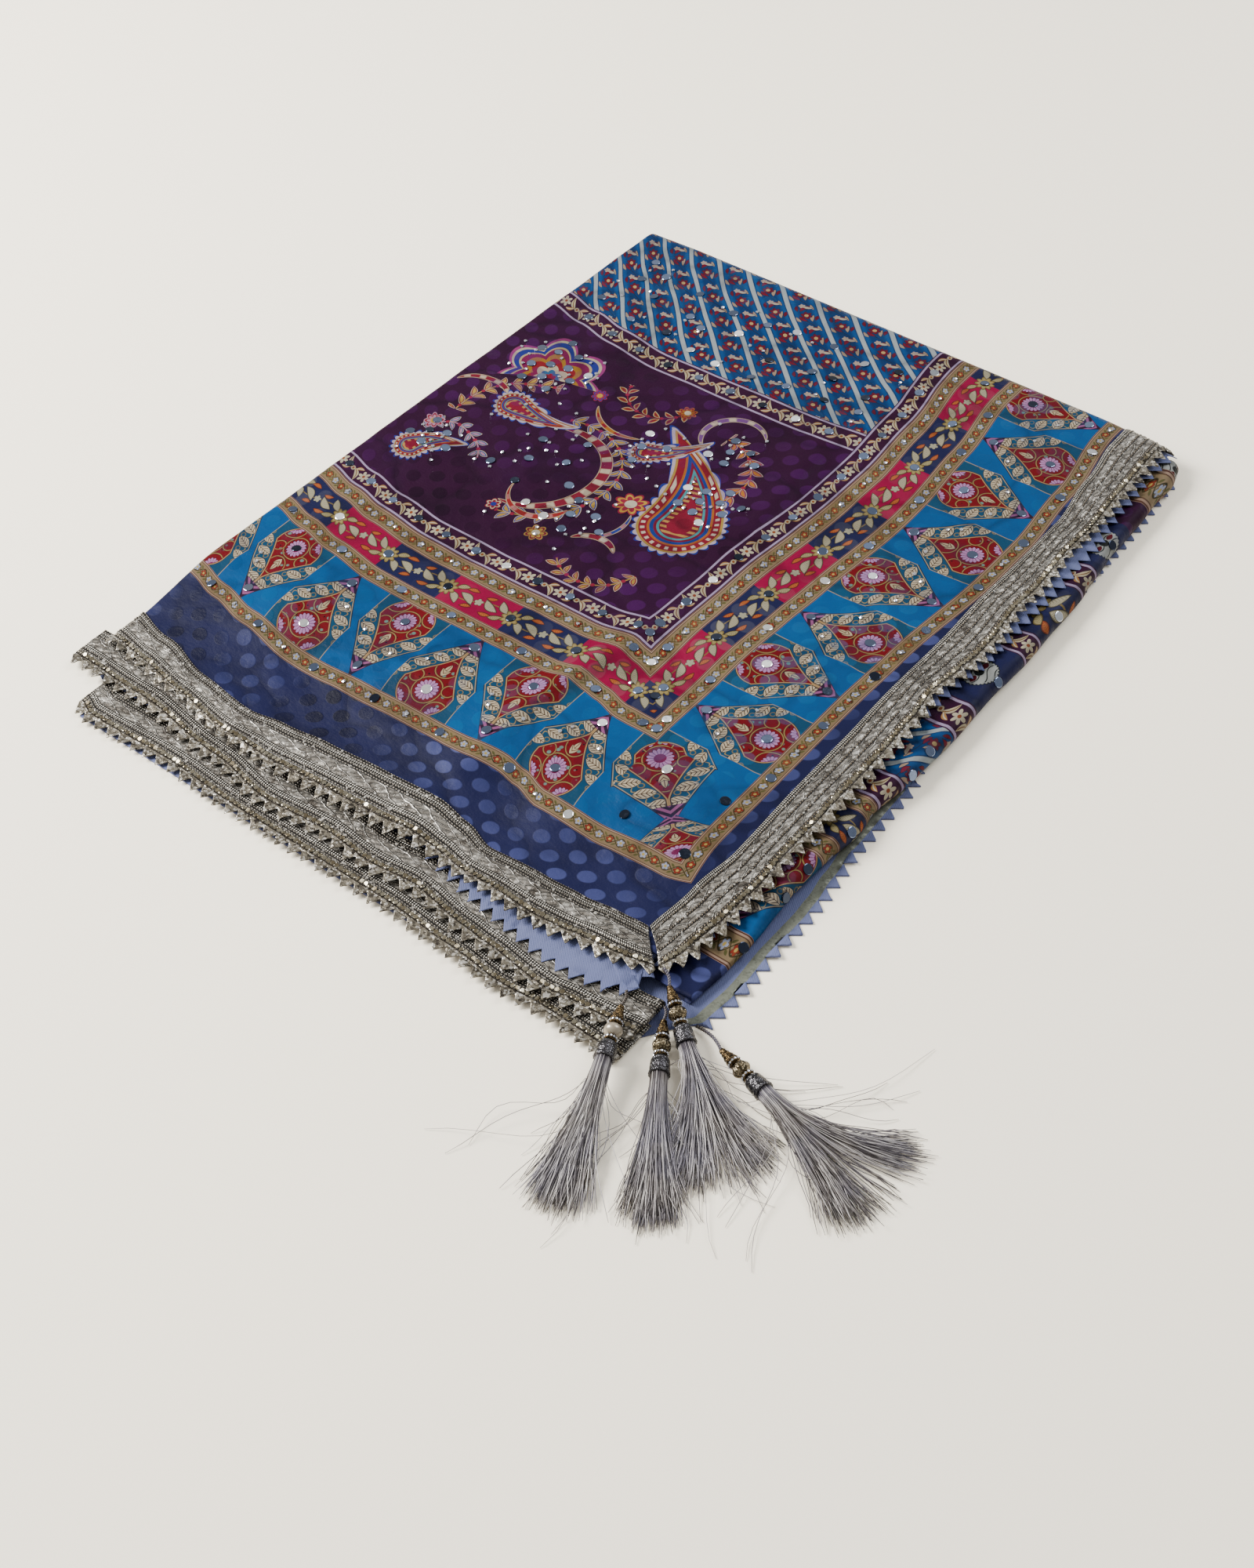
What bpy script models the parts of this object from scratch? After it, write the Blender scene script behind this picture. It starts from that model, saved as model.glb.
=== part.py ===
"""A dupatta stole, folded into a flat stack with its four tassels together at one corner.

Sizes are in metres and +Z is up. The stack lies on the plane Z = 0. X runs from the left fold to the
right side, and Y from the front end to the big fold at the back. The origin is the middle of the
folded rectangle, on the face that the stole rests on.

A place on the stack is given as (across, along, depth): across runs left from the tips of the lace on
the right side, along runs back from the tips of the lace on the front end, and depth runs down into
the stack from the upper face of the top layer.
"""
import math
from collections import namedtuple

import bmesh
import bpy
from mathutils import Matrix, Vector

FOLDED_WIDTH = 0.450
FOLDED_DEPTH = 0.575
RIGHT_X = FOLDED_WIDTH / 2
FRONT_Y = -FOLDED_DEPTH / 2

CLOTH_WALL = 0.0012
LACE_WALL = 0.0018
LACE_PROUD = 0.0006
SEAM_GAP = 0.0003
LAYER_GAP = 0.0006

LACE_WIDTH = 0.035
TOOTH_PITCH = 0.0105
TOOTH_HEIGHT = 0.007

STACK_HEIGHT = 0.021
BACK_FOLD_START = 0.565
BACK_FOLD_RADIUS = STACK_HEIGHT / 2
BACK_FOLD_END = BACK_FOLD_START + math.pi * BACK_FOLD_RADIUS
BACK_LIP = 0.004
LEFT_FOLD_RADIUS = 0.003
LEFT_FOLD_START = FOLDED_WIDTH - LEFT_FOLD_RADIUS
FRONT_RISE = 0.080
SIDE_DROOP = 0.15
FRONT_DROOP = 0.05
CREASE_MARGIN = 0.047

Row = namedtuple("Row", "at value")
Crease = namedtuple("Crease", "across_a along_a across_b along_b half_width height")

# How far the tips of the front lace lie behind a straight line, by distance across.
FRONT_WANDER = (
    Row(-0.030, 0.004), Row(0.000, 0.002), Row(0.045, -0.007), Row(0.090, -0.013), Row(0.170, -0.009),
    Row(0.250, -0.014), Row(0.290, -0.016), Row(0.340, -0.011), Row(0.390, -0.004), Row(0.450, 0.003),
)
# How far the tips of the side lace lie outside a straight line, by distance along.
SIDE_WANDER = (
    Row(-0.060, 0.000), Row(0.000, 0.002), Row(0.040, 0.008), Row(0.085, 0.013), Row(0.130, 0.011),
    Row(0.230, 0.009), Row(0.285, 0.003), Row(0.325, 0.007), Row(0.370, 0.003), Row(0.500, 0.001),
    Row(0.600, -0.001),
)
WANDER_FADE = 0.150

# Height of the top layer at the front end, by distance across.
FRONT_HEIGHT = (
    Row(0.000, 0.0118), Row(0.030, 0.0110), Row(0.060, 0.0100), Row(0.110, 0.0112), Row(0.150, 0.0096),
    Row(0.190, 0.0124), Row(0.250, 0.0108), Row(0.310, 0.0094), Row(0.350, 0.0098), Row(0.400, 0.0122),
    Row(0.450, 0.0104),
)
# Share of the full height that the stack has, by distance across, over the roll and at the left fold.
SIDE_SHARE = (Row(0.000, 0.87), Row(0.060, 1.00), Row(0.400, 1.00), Row(0.450, 0.94))

# The largest folds of the upper face, as soft ridges and troughs between two places.
CREASES = (
    Crease(0.172, 0.215, 0.186, 0.145, 0.012, 0.0021),
    Crease(0.187, 0.135, 0.194, 0.050, 0.014, 0.0019),
    Crease(0.152, 0.200, 0.166, 0.070, 0.018, -0.0018),
    Crease(0.196, 0.440, 0.182, 0.300, 0.016, 0.0017),
    Crease(0.331, 0.040, 0.322, 0.110, 0.024, -0.0020),
    Crease(0.250, 0.060, 0.262, 0.130, 0.024, 0.0016),
    Crease(0.375, 0.080, 0.385, 0.150, 0.022, 0.0015),
    Crease(0.050, 0.285, 0.105, 0.300, 0.022, -0.0018),
    Crease(0.055, 0.235, 0.120, 0.225, 0.024, 0.0014),
    Crease(0.050, 0.372, 0.110, 0.395, 0.022, -0.0016),
    Crease(0.060, 0.120, 0.110, 0.150, 0.024, 0.0013),
    Crease(0.330, 0.300, 0.415, 0.345, 0.026, 0.0014),
    Crease(0.280, 0.500, 0.345, 0.455, 0.026, -0.0014),
    Crease(0.060, 0.490, 0.130, 0.515, 0.024, 0.0015),
)

# How far the second layer shows beyond the top one, at the front and on the right.
SECOND_SHOWS_FRONT = (
    Row(-0.030, 0.012), Row(0.010, 0.016), Row(0.030, 0.018), Row(0.060, 0.014), Row(0.100, 0.008),
    Row(0.150, 0.000), Row(0.190, -0.005),
)
SECOND_SHOWS_SIDE = (
    Row(-0.030, -0.006), Row(0.000, -0.004), Row(0.020, 0.001), Row(0.060, -0.006), Row(0.220, -0.004),
    Row(0.285, 0.006), Row(0.330, 0.003), Row(0.369, 0.008), Row(0.443, 0.008), Row(0.500, 0.003),
    Row(0.600, 0.006),
)
SECOND_STRIP = 0.045
SECOND_FRONT_END = 0.189
SECOND_DEPTH = CLOTH_WALL + LAYER_GAP + 0.0002
SECOND_WRAP_END = BACK_FOLD_START + 0.35 * math.pi * BACK_FOLD_RADIUS
SECOND_WRAP_SLACK = 0.0004

# Outer face of the roll on the right side, by distance along.
ROLL_OUTER = (
    Row(0.000, 0.021), Row(0.060, 0.024), Row(0.300, 0.025), Row(0.385, 0.022), Row(0.432, 0.019),
    Row(0.500, 0.015), Row(0.600, 0.009),
)
ROLL_START = 0.003
ROLL_END = 0.578
ROLL_STRIP = 0.034
ROLL_DEPTH = SECOND_DEPTH + CLOTH_WALL + LAYER_GAP + 0.0003
ROLL_LIP = 0.012

# Tips of the lace on the third and fourth ends, in front of the stack, by distance across.
THIRD_TIPS = (
    Row(-0.020, -0.040), Row(0.007, -0.042), Row(0.050, -0.045), Row(0.096, -0.041), Row(0.158, -0.036),
    Row(0.226, -0.035), Row(0.274, -0.036), Row(0.325, -0.029), Row(0.400, -0.021), Row(0.463, -0.018),
)
THIRD_TOP = (Row(0.000, 0.0053), Row(0.100, 0.0055), Row(0.190, 0.0062), Row(0.310, 0.0054),
             Row(0.400, 0.0062), Row(0.425, 0.0052), Row(0.463, 0.0040))
THIRD_LEFT = 0.463
THIRD_CURL_TOP = 0.0069
THIRD_CURL_START = -0.008
THIRD_CURL_RADIUS = 0.0017
FOURTH_TIPS = (
    Row(-0.012, -0.056), Row(0.044, -0.055), Row(0.075, -0.057), Row(0.112, -0.054), Row(0.166, -0.051),
    Row(0.288, -0.051), Row(0.345, -0.048), Row(0.413, -0.050), Row(0.428, -0.045),
)
FOURTH_LEFT = 0.428
FOURTH_RIGHT = -0.012
FOURTH_TOP = 0.0033

# Tips of the lowest layer on the right, by distance along.
BOTTOM_TIPS = (
    Row(-0.010, 0.038), Row(0.040, 0.041), Row(0.090, 0.039), Row(0.127, 0.035), Row(0.153, 0.032),
    Row(0.230, 0.027), Row(0.300, 0.029), Row(0.385, 0.026), Row(0.432, 0.023), Row(0.480, 0.019),
    Row(0.560, 0.012),
)
BOTTOM_FRONT = -0.045
BOTTOM_BACK = BACK_FOLD_START - BACK_LIP - SEAM_GAP
BOTTOM_CORNER = (-0.033, -0.009)

INNER_DEPTH = 0.0058
INNER_FRONT = 0.020
INNER_ROWS = (0.027, 0.042, 0.058, 0.075, 0.095, 0.120)
INNER_LIFT = CLOTH_WALL + LAYER_GAP
INNER_BACK_REACH = 0.0055
INNER_BACK_TUCK = 0.007
INNER_BULGES = 3
BULGE = 0.0022
INNER_COLUMNS = (0.430, 0.330, 0.210, 0.110, 0.050, 0.028, 0.010)
INNER_NOSE_START = 0.030
INNER_NOSE_LIFT = 0.0026
INNER_NOSE_BACK = 0.009

# Tassels. heading is in degrees from +X, and slope is the fall per unit of length.
TasselPlace = namedtuple("TasselPlace", "across along height heading slope string fan_from fan_to split")
TASSELS = (
    TasselPlace(0.002, 0.008, 0.0138, -38.0, 0.125, 0.012, -46.0, -26.0, 0.0),
    TasselPlace(0.010, -0.015, 0.0112, -66.0, -0.020, 0.011, -76.0, -50.0, 0.0),
    TasselPlace(-0.0110, -0.008, 0.0060, -56.0, -0.030, 0.0095, -68.0, -50.0, 0.0),
    TasselPlace(-0.031, -0.006, 0.0024, -16.0, -0.100, 0.022, -36.0, 24.0, 18.0),
)
CONE_LENGTH = 0.010
BEAD_PROFILE = ((0.0012, 0.0000), (0.0040, 0.0004), (0.0044, 0.0014), (0.0040, 0.0025), (0.0026, 0.0030),
                (0.0049, 0.0048), (0.0056, 0.0073), (0.0049, 0.0098), (0.0026, 0.0115), (0.0040, 0.0120),
                (0.0044, 0.0131), (0.0040, 0.0142), (0.0012, 0.0146))
CAP_PROFILE = ((0.0016, 0.0000), (0.0042, 0.0008), (0.0055, 0.0030), (0.0057, 0.0100), (0.0062, 0.0120))
HEAD_RADIUS = 0.0050
HEAD_WALL = 0.0015
STRANDS_ROUND = 12
THREAD_LENGTH = 0.092
THREAD_FLOOR = 0.0009

COLOURS = {
    "print": ((0.030, 0.040, 0.120, 1.0), 0.45, 0.0),
    "reverse": ((0.200, 0.230, 0.500, 1.0), 0.60, 0.0),
    "lace": ((0.420, 0.380, 0.310, 1.0), 0.40, 0.7),
    "metal": ((0.420, 0.390, 0.330, 1.0), 0.30, 0.9),
    "threads": ((0.360, 0.320, 0.330, 1.0), 0.50, 0.2),
}


def ease(share):
    """A soft step from 0 to 1."""
    share = min(1.0, max(0.0, share))
    return share * share * (3 - 2 * share)


def read(rows, at):
    """The value of a table at a place, easing from row to row."""
    if at <= rows[0].at:
        return rows[0].value
    for low, high in zip(rows, rows[1:]):
        if at <= high.at:
            share = ease((at - low.at) / (high.at - low.at))
            return low.value + share * (high.value - low.value)
    return rows[-1].value


def crease_height(across, along):
    """What the ridges and troughs add to the upper face."""
    place = Vector((across, along))
    total = 0.0
    for crease in CREASES:
        start = Vector((crease.across_a, crease.along_a))
        run = Vector((crease.across_b, crease.along_b)) - start
        share = min(1.0, max(0.0, (place - start).dot(run) / run.length_squared))
        away = (place - start - share * run).length / crease.half_width
        total += crease.height * math.exp(-away * away)
    return total


def base_height(across, along):
    """Height of the top layer with no creases."""
    front = read(FRONT_HEIGHT, across)
    full = STACK_HEIGHT * read(SIDE_SHARE, across)
    height = front + (full - front) * ease((along - LACE_WIDTH) / FRONT_RISE)
    if across < 0:
        height += SIDE_DROOP * across
    if along < 0:
        height += FRONT_DROOP * along
    return height


def stack_height(across, along):
    """Height of the upper face of the top layer. The creases die away at its edges and at the back."""
    fade = ease((across - CREASE_MARGIN) / 0.02) * ease((along - CREASE_MARGIN) / 0.02)
    fade *= ease((BACK_FOLD_START - along) / 0.03)
    return base_height(across, along) + fade * crease_height(across, along)


def plan_point(across, along):
    """X and Y of a place on the stack, with the wander of its front end and right side."""
    side = read(SIDE_WANDER, along) * (1 - ease((across - LACE_WIDTH) / WANDER_FADE))
    front = read(FRONT_WANDER, across) * (1 - ease((along - LACE_WIDTH) / WANDER_FADE))
    return RIGHT_X - across + side, FRONT_Y + along + front


def stack_point(across, along, depth):
    """A point of the stack: flat up to the back fold, round the fold, then along the ground."""
    if along <= BACK_FOLD_START:
        x, y = plan_point(across, along)
        return Vector((x, y, stack_height(across, along) - depth))
    x, y = plan_point(across, BACK_FOLD_START)
    x += read(SIDE_WANDER, along) - read(SIDE_WANDER, BACK_FOLD_START) if across < LACE_WIDTH else 0.0
    half = stack_height(across, BACK_FOLD_START) / 2
    turn = min(math.pi, (along - BACK_FOLD_START) / BACK_FOLD_RADIUS)
    reach = half - depth
    lip = max(0.0, along - BACK_FOLD_END)
    return Vector((x, y + reach * math.sin(turn) - lip, half + reach * math.cos(turn)))


def spread(start, end, steps):
    """Evenly spaced values from start to end."""
    return [start + (end - start) * step / steps for step in range(steps + 1)]


def between(values, at, point):
    """A point on the straight chords that join the points of a neighbour's edge."""
    for low, high in zip(values, values[1:]):
        if at <= high:
            share = max(0.0, (at - low) / (high - low))
            return point(low).lerp(point(high), share)
    return point(values[-1])


def material(name, finish):
    """One plain material, from the photographed colours."""
    colour, roughness, metallic = COLOURS[finish]
    made = bpy.data.materials.new(name)
    made.use_nodes = True
    shader = made.node_tree.nodes["Principled BSDF"]
    shader.inputs["Base Color"].default_value = colour
    shader.inputs["Roughness"].default_value = roughness
    shader.inputs["Metallic"].default_value = metallic
    return made


def add_object(name, mesh, finish):
    """Put a mesh in the stole's collection, with a material of its own."""
    mesh.materials.append(material(name, finish))
    made = bpy.data.objects.new(name, mesh)
    bpy.data.collections["dupatta_stole"].objects.link(made)
    return made


def add_sheet(name, grid, wall, finish):
    """A wall of cloth or lace. The grid is its outer face, seen with its rows running left to right."""
    mesh = bpy.data.meshes.new(name)
    width = len(grid[0])
    points = [point for row in grid for point in row]
    faces = []
    for row in range(len(grid) - 1):
        for column in range(width - 1):
            corner = row * width + column
            faces.append((corner, corner + 1, corner + 1 + width, corner + width))
    mesh.from_pydata(points, [], faces)
    mesh.shade_smooth()
    made = add_object(name, mesh, finish)
    thick = made.modifiers.new("wall", "SOLIDIFY")
    thick.thickness = wall
    thick.offset = -1.0
    return made


def cloth_columns():
    """Distances across of the top layer's columns, closer together at the pleat."""
    edge = LACE_WIDTH + SEAM_GAP
    return spread(edge, 0.140, 5)[:-1] + spread(0.140, 0.210, 6)[:-1] + spread(0.210, LEFT_FOLD_START, 11)


def cloth_rows():
    """Distances along of the top layer's rows, round the back fold and in under it."""
    edge = LACE_WIDTH + SEAM_GAP
    flat = spread(edge, 0.230, 9)[:-1] + spread(0.230, BACK_FOLD_START, 13)
    return flat + spread(BACK_FOLD_START, BACK_FOLD_END, 7)[1:] + [BACK_FOLD_END + BACK_LIP]


def left_fold(along, turn, proud=0.0):
    """A point of the small round fold at the left, where turn runs from 0 on top to pi underneath."""
    radius = LEFT_FOLD_RADIUS + proud
    depth = LEFT_FOLD_RADIUS - radius * math.cos(turn)
    point = stack_point(LEFT_FOLD_START, along, depth)
    point.x -= radius * math.sin(turn)
    return point


def top_layer():
    """The upper print layer, with the small left fold and the big back fold."""
    grid = []
    for along in cloth_rows():
        row = [stack_point(across, along, 0.0) for across in cloth_columns()]
        row += [left_fold(along, turn) for turn in spread(0.0, math.radians(150), 4)[1:]]
        grid.append(row[::-1])
    return add_sheet("top_layer", grid, CLOTH_WALL, "print")


def tooth_columns(start, end):
    """Places of the tips and valleys of a pinked edge, as (place, is it a tip)."""
    steps = 2 * round((end - start) / TOOTH_PITCH)
    return [(place, index % 2 == 1) for index, place in enumerate(spread(start, end, steps))]


def mitre(place, inward):
    """Slides a column of lace along its edge, so that it meets its neighbour on the diagonal."""
    return place + inward * max(0.0, 1 - place / 0.12)


def top_end_trim():
    """The lace on the front end of the top layer, mitred at the right and folded at the left."""
    columns = cloth_columns()
    outer, inner = [], []
    for place, is_tip in tooth_columns(SEAM_GAP, LEFT_FOLD_START):
        start = 0.0 if is_tip else TOOTH_HEIGHT
        outer.append(stack_point(mitre(place, start), start, -LACE_PROUD))
        reach = max(mitre(place, LACE_WIDTH), columns[0])
        inner.append(between(columns, reach, lambda at: stack_point(at, LACE_WIDTH, -LACE_PROUD)))
    for turn in spread(0.0, math.radians(100), 3)[1:]:
        outer.append(left_fold(TOOTH_HEIGHT / 2, turn, LACE_PROUD))
        inner.append(left_fold(LACE_WIDTH, turn, LACE_PROUD))
    return add_sheet("top_end_trim", [outer[::-1], inner[::-1]], LACE_WALL, "lace")


def top_side_trim():
    """The lace on the right side of the top layer, mitred at the front and round the back fold."""
    rows = cloth_rows()
    outer, inner = [], []

    def proud(along):
        turn = min(math.pi, max(0.0, (along - BACK_FOLD_START) / BACK_FOLD_RADIUS))
        return -LACE_PROUD * (1 + math.cos(turn)) / 2

    for place, is_tip in tooth_columns(SEAM_GAP, BACK_FOLD_END):
        start = 0.0 if is_tip else TOOTH_HEIGHT
        along = mitre(place, start)
        outer.append(stack_point(start, along, proud(along)))
        reach = max(mitre(place, LACE_WIDTH), rows[0])
        inner.append(between(rows, reach, lambda at: stack_point(LACE_WIDTH, at, proud(at))))
    grid = [[left, right] for left, right in zip(inner, outer)]
    return add_sheet("top_side_trim", grid, LACE_WALL, "lace")


def second_layer():
    """The lavender reverse under the top layer, as the margin that shows at the front and right."""
    depth = SECOND_DEPTH
    half = SECOND_STRIP / 2
    outer, middle, inner = [], [], []
    front = tooth_columns(SEAM_GAP, SECOND_FRONT_END)
    for place, is_tip in front[::-1]:
        start = -read(SECOND_SHOWS_FRONT, place) + (0.0 if is_tip else TOOTH_HEIGHT)
        outer.append(stack_point(max(place, -read(SECOND_SHOWS_SIDE, start)), start, depth))
        middle.append(stack_point(mitre(place, half), half, depth))
        inner.append(stack_point(mitre(place, SECOND_STRIP), SECOND_STRIP, depth))
    for place, is_tip in tooth_columns(SEAM_GAP, SECOND_WRAP_END)[1:]:
        depth = SECOND_DEPTH + SECOND_WRAP_SLACK * ease((place - BACK_FOLD_START) / TOOTH_HEIGHT + 1)
        start = -read(SECOND_SHOWS_SIDE, place) + (0.0 if is_tip else TOOTH_HEIGHT)
        outer.append(stack_point(start, place, depth))
        middle.append(stack_point(half, mitre(place, half), depth))
        inner.append(stack_point(SECOND_STRIP, mitre(place, SECOND_STRIP), depth))
    return add_sheet("second_layer", [outer, middle, inner], CLOTH_WALL, "reverse")


def roll_section(along):
    """The roll on the right at one place along: across its top, round its outer face and in under it."""
    floor = CLOTH_WALL + SEAM_GAP
    reach = -read(ROLL_OUTER, along)
    top = base_height(reach / 2, along) - ROLL_DEPTH
    radius = (top - floor) / 2
    turn_start = reach + radius
    section = [stack_point(across, along, ROLL_DEPTH) for across in spread(ROLL_STRIP, turn_start, 3)]
    rim = section[-1]
    radius = (rim.z - floor) / 2
    for turn in spread(0.0, math.pi, 6)[1:]:
        offset = Vector((radius * math.sin(turn), 0.0, radius * math.cos(turn) - radius))
        section.append(rim + offset)
    section.append(section[-1] - Vector((ROLL_LIP, 0.0, 0.0)))
    return section


def rolled_layer():
    """The third layer, print outside, turned under as a roll along the right side."""
    grid = [roll_section(along) for along in spread(ROLL_START, BACK_FOLD_START - 0.001, 24)]
    return add_sheet("rolled_layer", grid, CLOTH_WALL, "print")


def third_end_trim():
    """The lace on the third layer's end, face up, with its right end curled down."""
    outer, inner = [], []
    for place, is_tip in tooth_columns(THIRD_CURL_START, THIRD_LEFT)[::-1]:
        tip = read(THIRD_TIPS, place)
        top = read(THIRD_TOP, place)
        top += (THIRD_CURL_TOP - top) * ease((0.004 - place) / 0.012)
        x = RIGHT_X - place
        outer.append(Vector((x, FRONT_Y + tip + (0.0 if is_tip else TOOTH_HEIGHT), top)))
        inner.append(Vector((x, FRONT_Y + tip + LACE_WIDTH, top)))
    for line in (outer, inner):
        rim = line[-1]
        for turn in spread(0.0, math.pi, 5)[1:]:
            fall = THIRD_CURL_RADIUS * (math.cos(turn) - 1)
            line.append(rim + Vector((THIRD_CURL_RADIUS * math.sin(turn), 0.0, fall)))
    return add_sheet("third_end_trim", [outer, inner], CLOTH_WALL, "lace")


def fourth_end_trim():
    """The lowest lace at the front, face up on the lowest layer."""
    outer, inner = [], []
    for place, is_tip in tooth_columns(FOURTH_RIGHT, FOURTH_LEFT)[::-1]:
        tip = read(FOURTH_TIPS, place)
        x = RIGHT_X - place
        outer.append(Vector((x, FRONT_Y + tip + (0.0 if is_tip else TOOTH_HEIGHT), FOURTH_TOP)))
        inner.append(Vector((x, FRONT_Y + tip + LACE_WIDTH, FOURTH_TOP)))
    return add_sheet("fourth_end_trim", [outer, inner], LACE_WALL, "lace")


def bottom_layer():
    """The lowest layer, reverse up, flat on the ground, with a pinked edge on the right."""
    outline = [(FOLDED_WIDTH, BOTTOM_BACK), (FOLDED_WIDTH, BOTTOM_FRONT), (0.0, BOTTOM_FRONT), BOTTOM_CORNER]
    for place, is_tip in tooth_columns(-0.004, BOTTOM_BACK):
        outline.append((-read(BOTTOM_TIPS, place) + (0.0 if is_tip else TOOTH_HEIGHT), place))
    curve = bpy.data.curves.new("bottom_layer", "CURVE")
    curve.dimensions = "2D"
    curve.fill_mode = "BOTH"
    curve.extrude = CLOTH_WALL / 2
    spline = curve.splines.new("POLY")
    spline.points.add(len(outline) - 1)
    for point, (across, along) in zip(spline.points, outline):
        point.co = (RIGHT_X - across, FRONT_Y + along, 0.0, 1.0)
    spline.use_cyclic_u = True
    curve.materials.append(material("bottom_layer", "reverse"))
    made = bpy.data.objects.new("bottom_layer", curve)
    made.location.z = CLOTH_WALL / 2
    bpy.data.collections["dupatta_stole"].objects.link(made)
    weld = made.modifiers.new("weld", "WELD")
    weld.merge_threshold = 0.00001
    return made


def inner_section(along, squeeze, tuck=0.0):
    """The hidden layers at one place along: their upper face, lower face and bulging left edge."""
    floor = INNER_LIFT
    x_left = plan_point(LEFT_FOLD_START, along)[0] + tuck
    upper, lower = [], []
    for across in INNER_COLUMNS:
        x = plan_point(across, along)[0]
        upper.append(Vector((x, 0.0, base_height(across, along) - INNER_DEPTH)))
        lift = INNER_NOSE_LIFT * ease((INNER_NOSE_START - across) / INNER_NOSE_START)
        lower.append(Vector((x, 0.0, floor + lift)))
    nose_x = RIGHT_X + read(ROLL_OUTER, along) - INNER_NOSE_BACK
    nose = Vector((nose_x, 0.0, (upper[-1].z - 0.002 + lower[-1].z) / 2))
    left_top = base_height(LEFT_FOLD_START, along) - 2 * LEFT_FOLD_RADIUS - 2 * LAYER_GAP
    step = (left_top - floor) / INNER_BULGES
    edge = []
    for bulge in range(INNER_BULGES):
        for turn in (-45, 0, 45):
            rise = (bulge + 0.5 + 0.5 * math.sin(math.radians(turn))) * step
            edge.append(Vector((x_left - BULGE * math.cos(math.radians(turn)), 0.0, floor + rise)))
    middle = (floor + upper[0].z) / 2
    for point in upper + lower + edge + [nose]:
        point.z = middle + (point.z - middle) * squeeze
        point.y = FRONT_Y + along
    return upper, nose, lower, edge


def inner_folds():
    """The hidden layers as one rounded solid, layered where its folds show at the left."""
    sections = [inner_section(INNER_FRONT, 0.75)]
    rows = list(INNER_ROWS) + spread(INNER_ROWS[-1], BACK_FOLD_START - 0.012, 12)[1:]
    sections += [inner_section(along, 1.0) for along in rows]
    for turn in (0, 30, 52, 70):
        section = inner_section(BACK_FOLD_START, 0.92 * math.cos(math.radians(turn)), INNER_BACK_TUCK)
        shift = Vector((0.0, INNER_BACK_REACH * math.sin(math.radians(turn)), 0.0))
        upper, nose, lower, edge = section
        for point in upper + lower + edge + [nose]:
            point += shift
        sections.append(section)
    shape = bmesh.new()
    made = []
    for upper, nose, lower, edge in sections:
        made.append([[shape.verts.new(point) for point in line] for line in (upper, [nose], lower, edge)])
    rings = [upper + nose + lower[::-1] + edge for upper, nose, lower, edge in made]
    count = len(rings[0])
    for front, back in zip(rings, rings[1:]):
        for index in range(count):
            after = (index + 1) % count
            shape.faces.new((front[index], front[after], back[after], back[index]))
    for upper, nose, lower, edge in (made[0], made[-1]):
        for index in range(len(upper) - 1):
            shape.faces.new((upper[index], upper[index + 1], lower[index + 1], lower[index]))
        shape.faces.new((upper[-1], nose[0], lower[-1]))
        line = [lower[0]] + edge
        for low, high in zip(line, line[1:]):
            shape.faces.new((upper[0], low, high))
    bmesh.ops.recalc_face_normals(shape, faces=shape.faces)
    mesh = bpy.data.meshes.new("inner_folds")
    shape.to_mesh(mesh)
    shape.free()
    return add_object("inner_folds", mesh, "reverse")


def tassel_frame(place):
    """Where a tassel starts and its axes: along its length, to its left, and up from it."""
    start = Vector((RIGHT_X - place.across, FRONT_Y + place.along, place.height))
    heading = math.radians(place.heading)
    level = Vector((math.cos(heading), math.sin(heading), 0.0))
    length = (level - Vector((0.0, 0.0, place.slope))).normalized()
    left = Vector((-level.y, level.x, 0.0))
    return start, length, left, length.cross(left)


def frame_matrix(point, length, left, up):
    """A matrix that turns a piece modelled along +Z to lie along the tassel."""
    turn = Matrix((left, up, length)).transposed().to_4x4()
    return Matrix.Translation(point) @ turn


def tassel_string(name, start, length, left, size):
    """The short doubled string that ties the tassel to the corner of the cloth."""
    curve = bpy.data.curves.new(name, "CURVE")
    curve.dimensions = "3D"
    curve.bevel_depth = 0.0009
    curve.bevel_resolution = 2
    curve.use_fill_caps = True
    spline = curve.splines.new("POLY")
    steps = 4
    spline.points.add(steps)
    for index, point in enumerate(spline.points):
        share = index / steps
        sway = 0.0012 * math.sin(share * math.pi) * size / 0.012
        point.co = (*(start + length * size * share + left * sway), 1.0)
    curve.materials.append(material(name, "threads"))
    made = bpy.data.objects.new(name, curve)
    bpy.data.collections["dupatta_stole"].objects.link(made)
    weld = made.modifiers.new("weld", "WELD")
    weld.merge_threshold = 0.00001
    return made


def tassel_cone(name, matrix):
    """The small cone between the string and the beads."""
    shape = bmesh.new()
    bmesh.ops.create_cone(shape, cap_ends=True, segments=10, radius1=0.0016, radius2=0.0040,
                          depth=CONE_LENGTH, matrix=Matrix.Translation((0, 0, CONE_LENGTH / 2)))
    mesh = bpy.data.meshes.new(name)
    shape.to_mesh(mesh)
    shape.free()
    made = add_object(name, mesh, "metal")
    made.matrix_world = matrix
    return made


def tassel_turned(name, profile, matrix, steps):
    """A turned piece: a profile of (radius, height), from its far end back, closed on its axis."""
    points = [(0.0, 0.0, profile[-1][1])]
    points += [(radius, 0.0, height) for radius, height in profile[::-1]]
    points.append((0.0, 0.0, profile[0][1]))
    mesh = bpy.data.meshes.new(name)
    mesh.from_pydata(points, [(index, index + 1) for index in range(len(points) - 1)], [])
    made = add_object(name, mesh, "metal")
    made.matrix_world = matrix
    screw = made.modifiers.new("turned", "SCREW")
    screw.steps = steps
    screw.render_steps = steps
    screw.use_merge_vertices = True
    screw.merge_threshold = 0.00001
    return made


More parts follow.
